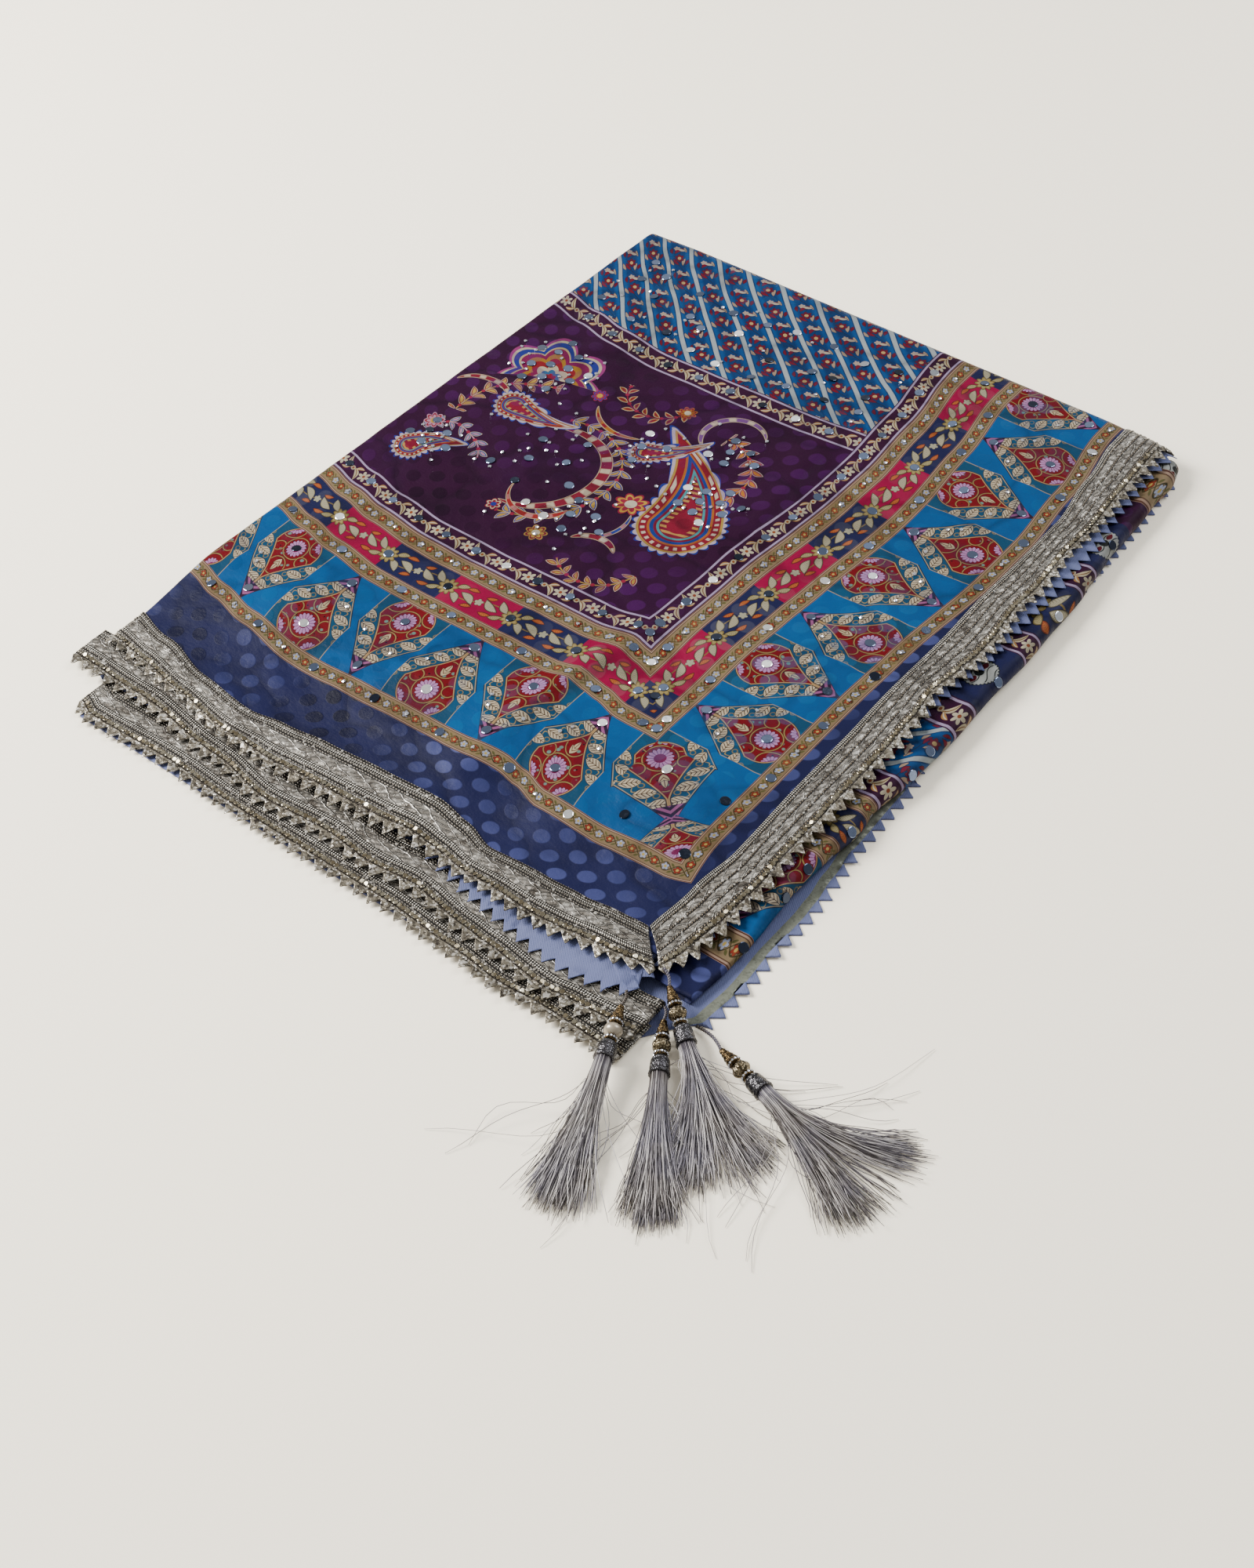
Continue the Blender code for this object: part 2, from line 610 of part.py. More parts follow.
def strand_end(rank, count, mouth, place):
    """Where one strand comes to rest, fanned out by its rank from right to left."""
    share = rank / (count - 1)
    angle = place.fan_from + (place.fan_to - place.fan_from) * share
    if place.split:
        angle += place.split * (ease((share - 0.5) / 0.10) - 0.5) * (1 - abs(2 * share - 1))
    length = THREAD_LENGTH * (1.0 + 0.05 * math.sin(7.0 * rank) - 0.10 * (2 * share - 1) ** 2)
    angle = math.radians(angle)
    height = THREAD_FLOOR + 0.0012 * (1 + math.sin(4.3 * rank))
    return Vector((mouth.x + length * math.cos(angle), mouth.y + length * math.sin(angle), height))


def tassel_threads(name, mouth, length, left, up, place):
    """The threads: strands drawn out of the faces of a flat head, and fanned out on the ground."""
    shape = bmesh.new()
    radii = (0.36 * HEAD_RADIUS, 0.70 * HEAD_RADIUS, HEAD_RADIUS)
    rings = []
    for radius in radii:
        ring = []
        for step in range(STRANDS_ROUND):
            turn = 2 * math.pi * (step + 0.5) / STRANDS_ROUND
            ring.append(shape.verts.new((radius * math.cos(turn), radius * math.sin(turn), HEAD_WALL)))
        rings.append(ring)
    middle = shape.verts.new((0.0, 0.0, HEAD_WALL))
    back = [shape.verts.new((vert.co.x, vert.co.y, 0.0)) for vert in rings[-1]]
    roots = []
    for step in range(STRANDS_ROUND):
        after = (step + 1) % STRANDS_ROUND
        roots.append(shape.faces.new((middle, rings[0][step], rings[0][after])))
        for inner, outer in zip(rings, rings[1:]):
            roots.append(shape.faces.new((inner[step], outer[step], outer[after], inner[after])))
        shape.faces.new((rings[-1][step], back[step], back[after], rings[-1][after]))
    shape.faces.new(back[::-1])
    matrix = frame_matrix(mouth, length, left, up)
    bmesh.ops.transform(shape, matrix=matrix, verts=shape.verts)
    roots.sort(key=lambda face: round(face.calc_center_median().dot(left), 5)
               + 0.0001 * (face.calc_center_median().z - mouth.z))
    for rank, root in enumerate(roots):
        centre = root.calc_center_median()
        end = strand_end(rank, len(roots), mouth, place)
        knee = centre + length * THREAD_LENGTH * 0.35
        knee.z = max(THREAD_FLOOR + 0.0008, centre.z * 0.75)
        shape_of_root = [vert.co - centre for vert in root.verts]
        width = max(offset.length for offset in shape_of_root)
        face = root
        for share, size in ((0.20, 0.00062), (0.60, 0.00055), (1.0, 0.00035)):
            face = bmesh.ops.extrude_discrete_faces(shape, faces=[face])["faces"][0]
            spot = centre * (1 - share) ** 2 + knee * 2 * share * (1 - share) + end * share ** 2
            for vert, offset in zip(face.verts, shape_of_root):
                vert.co = spot + offset * size / width
    bmesh.ops.recalc_face_normals(shape, faces=shape.faces)
    mesh = bpy.data.meshes.new(name)
    shape.to_mesh(mesh)
    shape.free()
    return add_object(name, mesh, "threads")


def tassel(number, place):
    """One whole tassel: string, cone, beads, cap and threads, end to end."""
    name = f"tassel_{number}"
    start, length, left, up = tassel_frame(place)
    tassel_string(f"{name}_string", start, length, left, place.string)
    reach = place.string + SEAM_GAP
    tassel_cone(f"{name}_cone", frame_matrix(start + length * reach, length, left, up))
    reach += CONE_LENGTH + SEAM_GAP
    matrix = frame_matrix(start + length * reach, length, left, up)
    tassel_turned(f"{name}_beads", BEAD_PROFILE, matrix, 10)
    reach += BEAD_PROFILE[-1][1] + SEAM_GAP
    matrix = frame_matrix(start + length * reach, length, left, up)
    tassel_turned(f"{name}_cap", CAP_PROFILE, matrix, 12)
    reach += CAP_PROFILE[-1][1] + SEAM_GAP
    tassel_threads(f"{name}_threads", start + length * reach, length, left, up, place)


def main():
    for old in list(bpy.data.objects):
        bpy.data.objects.remove(old)
    collection = bpy.data.collections.new("dupatta_stole")
    bpy.context.scene.collection.children.link(collection)
    bottom_layer()
    inner_folds()
    top_layer()
    top_end_trim()
    top_side_trim()
    second_layer()
    rolled_layer()
    third_end_trim()
    fourth_end_trim()
    for number, place in enumerate(TASSELS, start=1):
        tassel(number, place)


main()
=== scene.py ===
"""The looks of a folded dupatta stole: printed satin, gota lace, stick-on mirrors and tassels.

Places on the stole are given as (x, y) in millimetres, as seen from above: x is 0 at the tips of the lace
on the right side and runs to -450 at the left fold, and y is 0 at the tips of the lace on the front end
and runs back. Places on the print are (s, t) in millimetres: s from the right side and t from the front.
"""
import math
import random
from collections import namedtuple

import bpy
from bpy.props import FloatProperty, FloatVectorProperty, IntProperty, PointerProperty
from mathutils import Matrix, Vector, noise


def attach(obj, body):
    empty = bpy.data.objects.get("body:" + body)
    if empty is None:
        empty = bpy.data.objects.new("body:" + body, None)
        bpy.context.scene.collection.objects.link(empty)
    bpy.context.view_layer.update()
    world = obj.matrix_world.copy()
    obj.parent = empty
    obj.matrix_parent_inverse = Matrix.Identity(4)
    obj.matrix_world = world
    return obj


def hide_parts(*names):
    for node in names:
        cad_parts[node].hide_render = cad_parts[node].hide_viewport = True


bl_info = {
    "name": "Dupatta stole",
    "version": (1, 0, 0),
    "blender": (4, 5, 0),
    "location": "3D view > Sidebar > Stole",
    "description": "Makes the cloth, lace, mirrors and tassels of a folded dupatta stole",
    "category": "Object",
}

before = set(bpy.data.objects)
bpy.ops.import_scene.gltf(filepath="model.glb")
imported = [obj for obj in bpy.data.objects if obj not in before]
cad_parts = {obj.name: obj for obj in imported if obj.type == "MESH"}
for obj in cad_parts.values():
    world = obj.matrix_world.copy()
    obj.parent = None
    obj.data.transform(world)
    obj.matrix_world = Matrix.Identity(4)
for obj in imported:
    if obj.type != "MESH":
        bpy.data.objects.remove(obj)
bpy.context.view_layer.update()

MM = 0.001
RIGHT_X = 0.225
FRONT_Y = -0.2875

# The folded form

Crease = namedtuple("Crease", "x_a y_a x_b y_b half_width height")

LEFT_FOLD_X = -447.0
LEFT_FOLD_RADIUS = 3.0
BACK_FOLD_Y = 565.0
BACK_FOLD_RADIUS = 10.5
BACK_FOLD_END = BACK_FOLD_Y + math.pi * BACK_FOLD_RADIUS
STACK_HEIGHT = 21.0
FRONT_RISE_START = 35.0
FRONT_RISE_LEAD = 8.0
FRONT_RISE = 80.0
SIDE_DROOP = 0.15
FRONT_DROOP = 0.05
CREASE_START_X = 37.0
CREASE_START_Y = 39.0
CREASE_FADE = 20.0
CREASE_FADE_BACK = 30.0
SMALL_CREASE_GAIN = 1.3

FRONT_HEIGHT = (
    (0, 11.8), (30, 11.0), (60, 10.0), (110, 11.2), (150, 9.6), (190, 12.4),
    (250, 10.8), (310, 9.4), (350, 9.8), (400, 12.2), (450, 10.4),
)
SIDE_SHARE = ((0, 0.87), (60, 1.00), (400, 1.00), (450, 0.94))

WRINKLES = ((0.55, 34, 42, 3.0), (0.22, 12, 15, 9.0))
LARGE_CREASES = (
    Crease(-172, 215, -186, 145, 12, 2.1), Crease(-187, 135, -194, 50, 14, 1.9),
    Crease(-152, 200, -166, 70, 18, -1.8), Crease(-196, 440, -182, 300, 16, 1.7),
    Crease(-331, 40, -322, 110, 24, -2.0), Crease(-250, 60, -262, 130, 24, 1.6),
    Crease(-375, 80, -385, 150, 22, 1.5), Crease(-50, 285, -105, 300, 22, -1.8),
    Crease(-55, 235, -120, 225, 24, 1.4), Crease(-50, 372, -110, 395, 22, -1.6),
    Crease(-60, 120, -110, 150, 24, 1.3), Crease(-330, 300, -415, 345, 26, 1.4),
    Crease(-280, 500, -345, 455, 26, -1.4), Crease(-60, 490, -130, 515, 24, 1.5),
)
SMALL_CREASES = (
    Crease(-180, 175, -190, 95, 4.5, 1.1), Crease(-172, 178, -180, 100, 6, -1.3),
    Crease(-188, 420, -176, 330, 5, 0.9), Crease(-180, 425, -170, 335, 7, -0.8),
    Crease(-214, 240, -160, 205, 7, 0.6), Crease(-262, 100, -300, 60, 8, 0.6),
    Crease(-118, 95, -92, 66, 9, -0.7), Crease(-70, 190, -100, 172, 8, 0.6),
    Crease(-52, 262, -96, 270, 7, 0.9), Crease(-54, 310, -84, 322, 7, 0.7),
    Crease(-48, 345, -92, 352, 6, -0.7), Crease(-50, 412, -86, 420, 8, 0.8),
    Crease(-52, 448, -90, 462, 6, -0.6), Crease(-48, 530, -90, 536, 8, 0.7),
    Crease(-150, 540, -190, 505, 8, 0.7), Crease(-226, 520, -214, 470, 7, -0.6),
    Crease(-260, 548, -300, 520, 8, 0.6), Crease(-350, 520, -372, 480, 8, 0.7),
    Crease(-400, 500, -425, 455, 8, -0.6), Crease(-390, 420, -420, 380, 9, 0.7),
    Crease(-300, 420, -345, 388, 9, 0.5), Crease(-410, 300, -430, 250, 7, 0.6),
    Crease(-345, 230, -390, 205, 8, 0.6), Crease(-290, 215, -330, 178, 8, -0.6),
    Crease(-240, 180, -232, 130, 7, 0.6), Crease(-140, 260, -128, 210, 9, 0.5),
    Crease(-110, 440, -140, 400, 9, 0.5), Crease(-400, 130, -432, 105, 6, 0.8),
    Crease(-350, 70, -400, 62, 6, 0.7), Crease(-220, 62, -250, 50, 6, 0.7),
    Crease(-140, 120, -120, 160, 7, -0.6), Crease(-80, 60, -60, 75, 6, 0.5),
)

# Tips and inner edge of the lace on the front of the top layer: y, by x.
END_TIPS = (
    (-450, 3.0), (-380, -5.0), (-330, -12.5), (-286, -16.0), (-249, -14.0),
    (-211, -13.0), (-176, -9.0), (-129, -10.6), (-89, -13.0), (-39, -7.6), (0, 0.5),
)
END_INNER = (
    (-461, 41.0), (-417, 31.0), (-375, 21.0), (-331, 17.0), (-304, 21.5), (-272, 25.0),
    (-229, 28.0), (-184, 30.0), (-162, 27.0), (-137, 20.0), (-98, 22.0), (-72, 24.0),
    (-49, 27.0), (-28, 28.0),
)
# The same for the lace on the right side: x, by y.
SIDE_TIPS = (
    (0, 0.8), (30, 9.0), (66, 13.5), (84, 14.5), (112, 12.5), (190, 12.0), (216, 11.5),
    (248, 9.5), (276, 5.0), (300, 9.0), (320, 11.0), (335, 11.0), (372, 6.0), (392, 7.0),
    (440, 2.5), (466, 3.8), (514, 1.5), (583, -1.0),
)
SIDE_INNER = (
    (28, -28.0), (63, -24.0), (97, -19.0), (165, -21.0), (207, -21.5), (257, -23.0),
    (314, -22.5), (362, -24.0), (407, -23.5), (455, -24.0), (506, -31.0), (549, -37.0),
    (600, -38.0),
)
# How far the printed lines lie from straight ones: in y by s, and in x by t.
PRINT_SHIFT_Y = (
    (25, -11.0), (60, -20.0), (110, -23.0), (150, -22.0), (172, -16.0), (185, -14.0),
    (215, -18.0), (300, -20.0), (350, -20.0), (390, -15.0), (420, -8.0), (450, 0.0),
)
PRINT_SHIFT_X = (
    (30, 12.0), (60, 16.0), (110, 11.0), (250, 10.0), (300, 11.0), (400, 17.0),
    (440, 17.0), (500, 12.0), (575, 2.0),
)


def waver(x, y, z):
    """Smooth noise between about -1 and 1 at a place."""
    return noise.noise(Vector((x, y, z)))


def soft_step(share):
    """A soft step from 0 to 1."""
    share = min(1.0, max(0.0, share))
    return share * share * (3 - 2 * share)


def read(rows, at):
    """The value of a table of places and values at a place, easing from pair to pair."""
    if at <= rows[0][0]:
        return rows[0][1]
    for (start, low), (end, high) in zip(rows, rows[1:]):
        if at <= end:
            return low + (high - low) * soft_step((at - start) / (end - start))
    return rows[-1][1]


def crease_height(creases, x, y):
    """What soft ridges and troughs add at a place."""
    total = 0.0
    for crease in creases:
        run_x, run_y = crease.x_b - crease.x_a, crease.y_b - crease.y_a
        off_x, off_y = x - crease.x_a, y - crease.y_a
        share = min(1.0, max(0.0, (off_x * run_x + off_y * run_y) / (run_x * run_x + run_y * run_y)))
        away = math.hypot(off_x - share * run_x, off_y - share * run_y) / crease.half_width
        if away < 3:
            total += crease.height * math.exp(-away * away)
    return total


def stack_height(x, y):
    """Height of the upper face of the top layer, in millimetres."""
    front = read(FRONT_HEIGHT, -x)
    full = STACK_HEIGHT * read(SIDE_SHARE, -x)
    height = front + (full - front) * soft_step((y + FRONT_RISE_LEAD - FRONT_RISE_START) / FRONT_RISE)
    if x > 0:
        height -= SIDE_DROOP * x
    if y < 0:
        height += FRONT_DROOP * y
    fade = soft_step((-x - CREASE_START_X) / CREASE_FADE) * soft_step((y - CREASE_START_Y) / CREASE_FADE)
    fade *= soft_step((BACK_FOLD_Y - y) / CREASE_FADE_BACK)
    if fade:
        height += fade * crease_height(LARGE_CREASES, x, y)
        height += fade * SMALL_CREASE_GAIN * crease_height(SMALL_CREASES, x, y)
        for size, along, across, seed in WRINKLES:
            height += fade * size * waver(x / along, y / across, seed)
    return height


def place(x, y, height):
    """A point in metres from a place in millimetres."""
    return Vector((RIGHT_X + x * MM, FRONT_Y + y * MM, height * MM))


def on_top(x, y, lift):
    """A point on the top layer, wrapped round the left fold and the back fold, in millimetres above it."""
    turn = max(0.0, (LEFT_FOLD_X - x) / LEFT_FOLD_RADIUS)
    if turn:
        radius = LEFT_FOLD_RADIUS + lift
        lift = radius * math.cos(turn) - LEFT_FOLD_RADIUS
        x = LEFT_FOLD_X
        aside = -radius * math.sin(turn)
    else:
        aside = 0.0
    if y <= BACK_FOLD_Y:
        return place(x + aside, y, stack_height(x, y) + lift)
    half = stack_height(x, BACK_FOLD_Y) / 2
    bend = min(math.pi, (y - BACK_FOLD_Y) / BACK_FOLD_RADIUS)
    reach = half + lift
    lip = max(0.0, y - BACK_FOLD_END)
    return place(x + aside, BACK_FOLD_Y + reach * math.sin(bend) - lip, half + reach * math.cos(bend))


def spread(start, end, steps):
    """Evenly spaced values from start to end."""
    return [start + (end - start) * step / steps for step in range(steps + 1)]


# The layout of the print

# Distances of the printed bands' edges from the right side, and the grid cells in each band.
BAND_EDGES = (41, 53, 118, 131, 156, 170, 189)
BAND_CELLS = (3, 16, 3, 6, 4, 5)
GROUND = BAND_EDGES[-1]
END_GROUND = 235.0
END_START = 80.0
END_STRETCH = (GROUND - BAND_EDGES[0]) / (END_GROUND - END_START)
CROSS_BAND = (450.0, 472.0)
SIDE_PHASE = 253.0
END_PHASE = 207.0
END_RUN = 1.038
REPEAT = 54.0
CORNER = BAND_EDGES[2]
HALF_WIDTHS = {"ochre": 6.5, "vine": 9.5}

ZONES = ("navy", "ochre", "medallion", "blocks", "vine", "ground", "diagonal")
BAND_ZONES = ("ochre", "medallion", "ochre", "blocks", "ochre", "vine")


def band_lines():
    """Distances of the grid's lines across the printed bands."""
    lines = [float(BAND_EDGES[0])]
    for low, high, cells in zip(BAND_EDGES, BAND_EDGES[1:], BAND_CELLS):
        lines += spread(low, high, cells)[1:]
    return lines


def end_line(band):
    """Distance from the front of the line that continues a line of the side's bands."""
    return END_START + (band - BAND_EDGES[0]) / END_STRETCH


def print_place(column, row):
    """Where a grid line's crossing lies, as x and y, and its place on the print, as s and t."""
    shift_y = read(PRINT_SHIFT_Y, column)
    if row < END_START:
        inner = read(END_INNER, -column) - FRONT_RISE_START
        share = max(0.0, (row - FRONT_RISE_START) / (END_START - FRONT_RISE_START))
        shift_y = inner + (shift_y - inner) * share
    y = row + shift_y
    if row > CROSS_BAND[1]:
        start = CROSS_BAND[1] + shift_y
        share = (row - CROSS_BAND[1]) / (BACK_FOLD_Y - CROSS_BAND[1])
        y = start + (BACK_FOLD_Y - start) * share if share < 1 else row
    t = y - shift_y
    shift_x = read(PRINT_SHIFT_X, t)
    x = shift_x - column
    if column > END_GROUND:
        start = shift_x - END_GROUND
        share = (column - END_GROUND) / (-LEFT_FOLD_X - END_GROUND)
        x = start + (LEFT_FOLD_X - start) * share if share < 1 else -column
    return x, y, shift_x - x, t


def from_print(s, t):
    """The place x, y of a spot s, t of the print."""
    row = t if t <= CROSS_BAND[1] else CROSS_BAND[1] + (t - CROSS_BAND[1]) * 0.83
    column = s
    for _ in range(6):
        _, _, got_s, got_t = print_place(column, row)
        column += s - got_s
        row += t - got_t
    x, y, _, _ = print_place(column, row)
    return x, y


def band_place(band, run, end):
    """A spot of the bands, by its distance across them and along them, on the end or on the side."""
    if end:
        return from_print(END_PHASE + (run - SIDE_PHASE) / END_RUN, end_line(band))
    return from_print(band, run)


def corner_axes(s, t):
    """Distances along the diagonal from the corner of the inner border, and to the side of it."""
    across = CORNER - s
    down = (end_line(CORNER) - t) * END_STRETCH
    return (across + down) / math.sqrt(2), (across - down) / math.sqrt(2)


def corner_pattern(s, t, outer):
    """The medallion band's pattern turned to point along the diagonal, with a half one at the corner."""
    along, aside = corner_axes(s, t)
    if outer:
        return BAND_EDGES[1] + (92 - along) * 2, SIDE_PHASE - REPEAT + aside * 0.9
    turned = min(REPEAT / 2 - 0.2, max(0.2 - REPEAT / 2, aside * 0.92))
    return CORNER - along * 0.98, SIDE_PHASE + turned


def face_zone(column, row):
    """The zone that a face belongs to, by the middle of it, and whether it is on the side's bands."""
    side = column
    end = BAND_EDGES[0] + (row - END_START) * END_STRETCH
    on_side = side < end
    band = min(side, end)
    if band < BAND_EDGES[0]:
        return "navy", on_side
    if band > GROUND:
        if row < CROSS_BAND[0]:
            return "ground", on_side
        return ("vine", "cross") if row < CROSS_BAND[1] else ("diagonal", on_side)
    for index, high in enumerate(BAND_EDGES[1:]):
        if band < high:
            return BAND_ZONES[index], on_side
    return "ground", on_side


def pattern_at(zone, on_side, s, t, corner):
    """The pattern's own coordinates at a spot of the print, in millimetres."""
    if zone in ("navy", "ground", "diagonal"):
        return s, t
    if on_side == "cross":
        middle = (CROSS_BAND[0] + CROSS_BAND[1]) / 2
        return (t - middle) * 2 * HALF_WIDTHS["vine"] / (CROSS_BAND[1] - CROSS_BAND[0]), s
    if corner:
        return corner_pattern(s, t, corner == "outer")
    band = s if on_side else BAND_EDGES[0] + (t - END_START) * END_STRETCH
    run = t if on_side else SIDE_PHASE + (s - END_PHASE) * END_RUN
    if zone in HALF_WIDTHS:
        for low, high, kind in zip(BAND_EDGES, BAND_EDGES[1:], BAND_ZONES):
            if kind == zone and low - 1 <= band <= high + 1:
                return (band - (low + high) / 2) * 2 * HALF_WIDTHS[zone] / (high - low), run
    return band, run


# Patterns in materials


def linear(code):
    """A colour from its six usual hexadecimal digits."""
    parts = [int(code[index:index + 2], 16) / 255 for index in (0, 2, 4)]
    return (*[part / 12.92 if part <= 0.04045 else ((part + 0.055) / 1.055) ** 2.4 for part in parts], 1.0)


class Amount:
    """A number that a material works out at each point, so that a pattern can be written as sums."""

    def __init__(self, tree, socket):
        self.tree = tree
        self.socket = socket

    def math(self, kind, *others, clamp=False):
        node = self.tree.nodes.new("ShaderNodeMath")
        node.operation = kind
        node.use_clamp = clamp
        for slot, item in zip(node.inputs, (self, *others)):
            if isinstance(item, Amount):
                self.tree.links.new(item.socket, slot)
            else:
                slot.default_value = item
        return Amount(self.tree, node.outputs[0])

    def __add__(self, other):
        return self.math("ADD", other)

    def __sub__(self, other):
        return self.math("SUBTRACT", other)

    def __rsub__(self, other):
        return self.math("MULTIPLY_ADD", -1.0, other)

    def __mul__(self, other):
        return self.math("MULTIPLY", other)

    def __truediv__(self, other):
        return self.math("DIVIDE", other)

    def __abs__(self):
        return self.math("ABSOLUTE")

    __radd__ = __add__
    __rmul__ = __mul__

    def low(self, other):
        return self.math("MINIMUM", other)

    def high(self, other):
        return self.math("MAXIMUM", other)

    def squared(self):
        return self.math("MULTIPLY", self)

    def inside(self, soft=0.25):
        """1 where the amount is above 0 and 0 where it is below, with a soft edge."""
        return self.math("MULTIPLY_ADD", 1 / soft, 0.5, clamp=True)

    def ramp(self, gain):
        """0 where the amount is below 0, rising by the gain up to 1."""
        return self.math("MULTIPLY_ADD", gain, 0.0, clamp=True)

    def wave(self, pitch):
        """A sine wave of this pitch."""
        return (self * (2 * math.pi / pitch)).math("SINE")

    def tile(self, pitch, start=0.0):
        """The distance from the middle of the nearest repeat."""
        share = self.math("MULTIPLY_ADD", 1 / pitch, 0.5 - start / pitch).math("FRACT")
        return share.math("MULTIPLY_ADD", pitch, -pitch / 2)

    def step_number(self, pitch, start=0.0):
        """Which repeat a place is in."""
        return self.math("MULTIPLY_ADD", 1 / pitch, 0.5 - start / pitch).math("FLOOR")

    def is_odd(self):
        return self.math("MULTIPLY", 0.5).math("FRACT").math("GREATER_THAN", 0.25)


def length(x, y):
    return (x.squared() + y.squared()).math("SQRT")


def spin(x, y, degrees):
    """Coordinates turned about the origin."""
    cosine, sine = math.cos(math.radians(degrees)), math.sin(math.radians(degrees))
    return x * cosine + y * sine, y * cosine - x * sine


def leaf(x, y, long, wide):
    """Above 0 inside a leaf with a point at each end, along x."""
    return (1 - (x * (2 / long)).squared()) * (wide / 2) - abs(y)


def flower(x, y, radius, petals, depth=0.3):
    """Above 0 inside a flower with rounded petals."""
    wave = abs((y.math("ARCTAN2", x) * (petals / 2)).math("COSINE"))
    return wave.math("MULTIPLY_ADD", radius * depth, radius * (1 - depth)) - length(x, y)


def drop(x, y, radius, tail, bend):
    """Above 0 inside a bent drop, as in a paisley: round at the origin, its tail along y."""
    side = x - y.high(0.0).squared() * bend
    share = y.high(0.0) / tail
    width = (1 - share).high(0.0).math("POWER", 0.75) * radius
    past = y.low(0.0) + (y - tail).high(0.0)
    return width - length(side, past)


class Paint:
    """A colour built up layer over layer. The dyes of the satin are deeper than their colours on a screen."""

    def __init__(self, tree, colour, depth=1.0):
        self.tree = tree
        self.depth = depth
        self.colour = self.dye(colour)

    def dye(self, colour):
        if isinstance(colour, str):
            colour = linear(colour)
        return (*[part * self.depth for part in colour[:3]], 1.0)

    def put(self, slot, colour):
        if isinstance(colour, tuple):
            slot.default_value = colour
        else:
            self.tree.links.new(colour, slot)

    def over(self, mask, colour, strength=1.0):
        node = self.tree.nodes.new("ShaderNodeMix")
        node.data_type = "RGBA"
        if strength < 1:
            mask = mask * strength
        self.tree.links.new(mask.socket, node.inputs[0])
        self.put(node.inputs[6], self.colour)
        node.inputs[7].default_value = self.dye(colour)
        self.colour = node.outputs[2]
        return self

    def fill(self, shape, colour, soft=0.3, strength=1.0):
        """Paints where a shape is above 0, with a soft edge."""
        return self.over(shape.inside(soft), colour, strength)


# How much of a colour on a screen each kind of surface keeps.
DYE = 0.27
REVERSE_DYE = 0.42
METAL_TONE = 0.42
THREAD_TONE = 0.50
MIRROR_TONE = 0.62

FINISH_PREFIX = "stole_"


def finished(name):
    """A material that has been made."""
    return bpy.data.materials[FINISH_PREFIX + name]


class Finish:
    """A material in the making: its node tree, its coordinates and its shader."""

    def __init__(self, name, **values):
        self.material = bpy.data.materials.new(FINISH_PREFIX + name)
        self.material.use_nodes = True
        self.tree = self.material.node_tree
        self.shader = self.tree.nodes["Principled BSDF"]
        for key, value in values.items():
            self.shader.inputs[key.replace("_", " ")].default_value = value
        self.coordinates = self.tree.nodes.new("ShaderNodeTexCoord")

    def pattern(self):
        """The print's coordinates in millimetres, from the piece's own UV map."""
        node = self.tree.nodes.new("ShaderNodeUVMap")
        node.uv_map = "print"
        split = self.tree.nodes.new("ShaderNodeSeparateXYZ")
        self.tree.links.new(node.outputs[0], split.inputs[0])
        return [Amount(self.tree, split.outputs[index]) * 1000.0 for index in (0, 1)]

    def grain(self, scale, detail=2.0, stretch=(1, 1, 1), rough=0.5):
        """Noise in the object's own coordinates, from 0 to 1."""
        mapping = self.tree.nodes.new("ShaderNodeMapping")
        mapping.inputs["Scale"].default_value = stretch
        self.tree.links.new(self.coordinates.outputs["Object"], mapping.inputs[0])
        node = self.tree.nodes.new("ShaderNodeTexNoise")
        node.inputs["Scale"].default_value = scale
        node.inputs["Detail"].default_value = detail
        node.inputs["Roughness"].default_value = rough
        self.tree.links.new(mapping.outputs[0], node.inputs["Vector"])
        return Amount(self.tree, node.outputs["Fac"])

    def cells(self, scale, output="Distance"):
        """Cell noise in the object's own coordinates."""
        node = self.tree.nodes.new("ShaderNodeTexVoronoi")
        node.inputs["Scale"].default_value = scale
        self.tree.links.new(self.coordinates.outputs["Object"], node.inputs["Vector"])
        return Amount(self.tree, node.outputs[output])

    def axis(self, index):
        """One of the object's own coordinates, in millimetres."""
        split = self.tree.nodes.new("ShaderNodeSeparateXYZ")
        self.tree.links.new(self.coordinates.outputs["Object"], split.inputs[0])
        return Amount(self.tree, split.outputs[index]) * 1000.0

    def attribute(self, name):
        node = self.tree.nodes.new("ShaderNodeAttribute")
        node.attribute_name = name
        return Amount(self.tree, node.outputs["Fac"])

    def colour(self, colour):
        if isinstance(colour, Paint):
            colour = colour.colour
        if isinstance(colour, tuple):
            self.shader.inputs["Base Color"].default_value = colour
        else:
            self.tree.links.new(colour, self.shader.inputs["Base Color"])

    def rough(self, amount):
        self.tree.links.new(amount.socket, self.shader.inputs["Roughness"])

    def uneven(self, scale, spread, least):
        """A roughness that varies a little from spot to spot."""
        self.rough(self.grain(scale).math("MULTIPLY_ADD", spread, least))

    def bump(self, height, depth_mm):
        node = self.tree.nodes.new("ShaderNodeBump")
        node.inputs["Distance"].default_value = depth_mm * MM
        self.tree.links.new(height.socket, node.inputs["Height"])
        self.tree.links.new(node.outputs[0], self.shader.inputs["Normal"])


def dye_and_painted_shade(finish, paint, light, dark):
    """Worn, uneven dye with painted light and shade: a colour that varies a little in large and small
    patches, partly the dye's unevenness and partly painted sheen in the light patches and painted shade in
    the dark ones.
    """
    patches = finish.grain(22.0, 3.0)
    paint.over((patches - 0.5).ramp(2.4), light, 0.35)
    paint.over((0.5 - patches).ramp(2.4), dark, 0.50)
    return paint


def dyed_with_painted_shade(finish, colour, light, dark):
    """The ground of a satin: one of the user's colours, with uneven dye and soft patches of painted sheen and
    painted shade.
    """
    return dye_and_painted_shade(finish, Paint(finish.tree, tuple(colour), DYE), light, dark)


DOT_ROWS = 13.5
DOT_PITCH = 21.0
DOT_RADIUS = 5.6


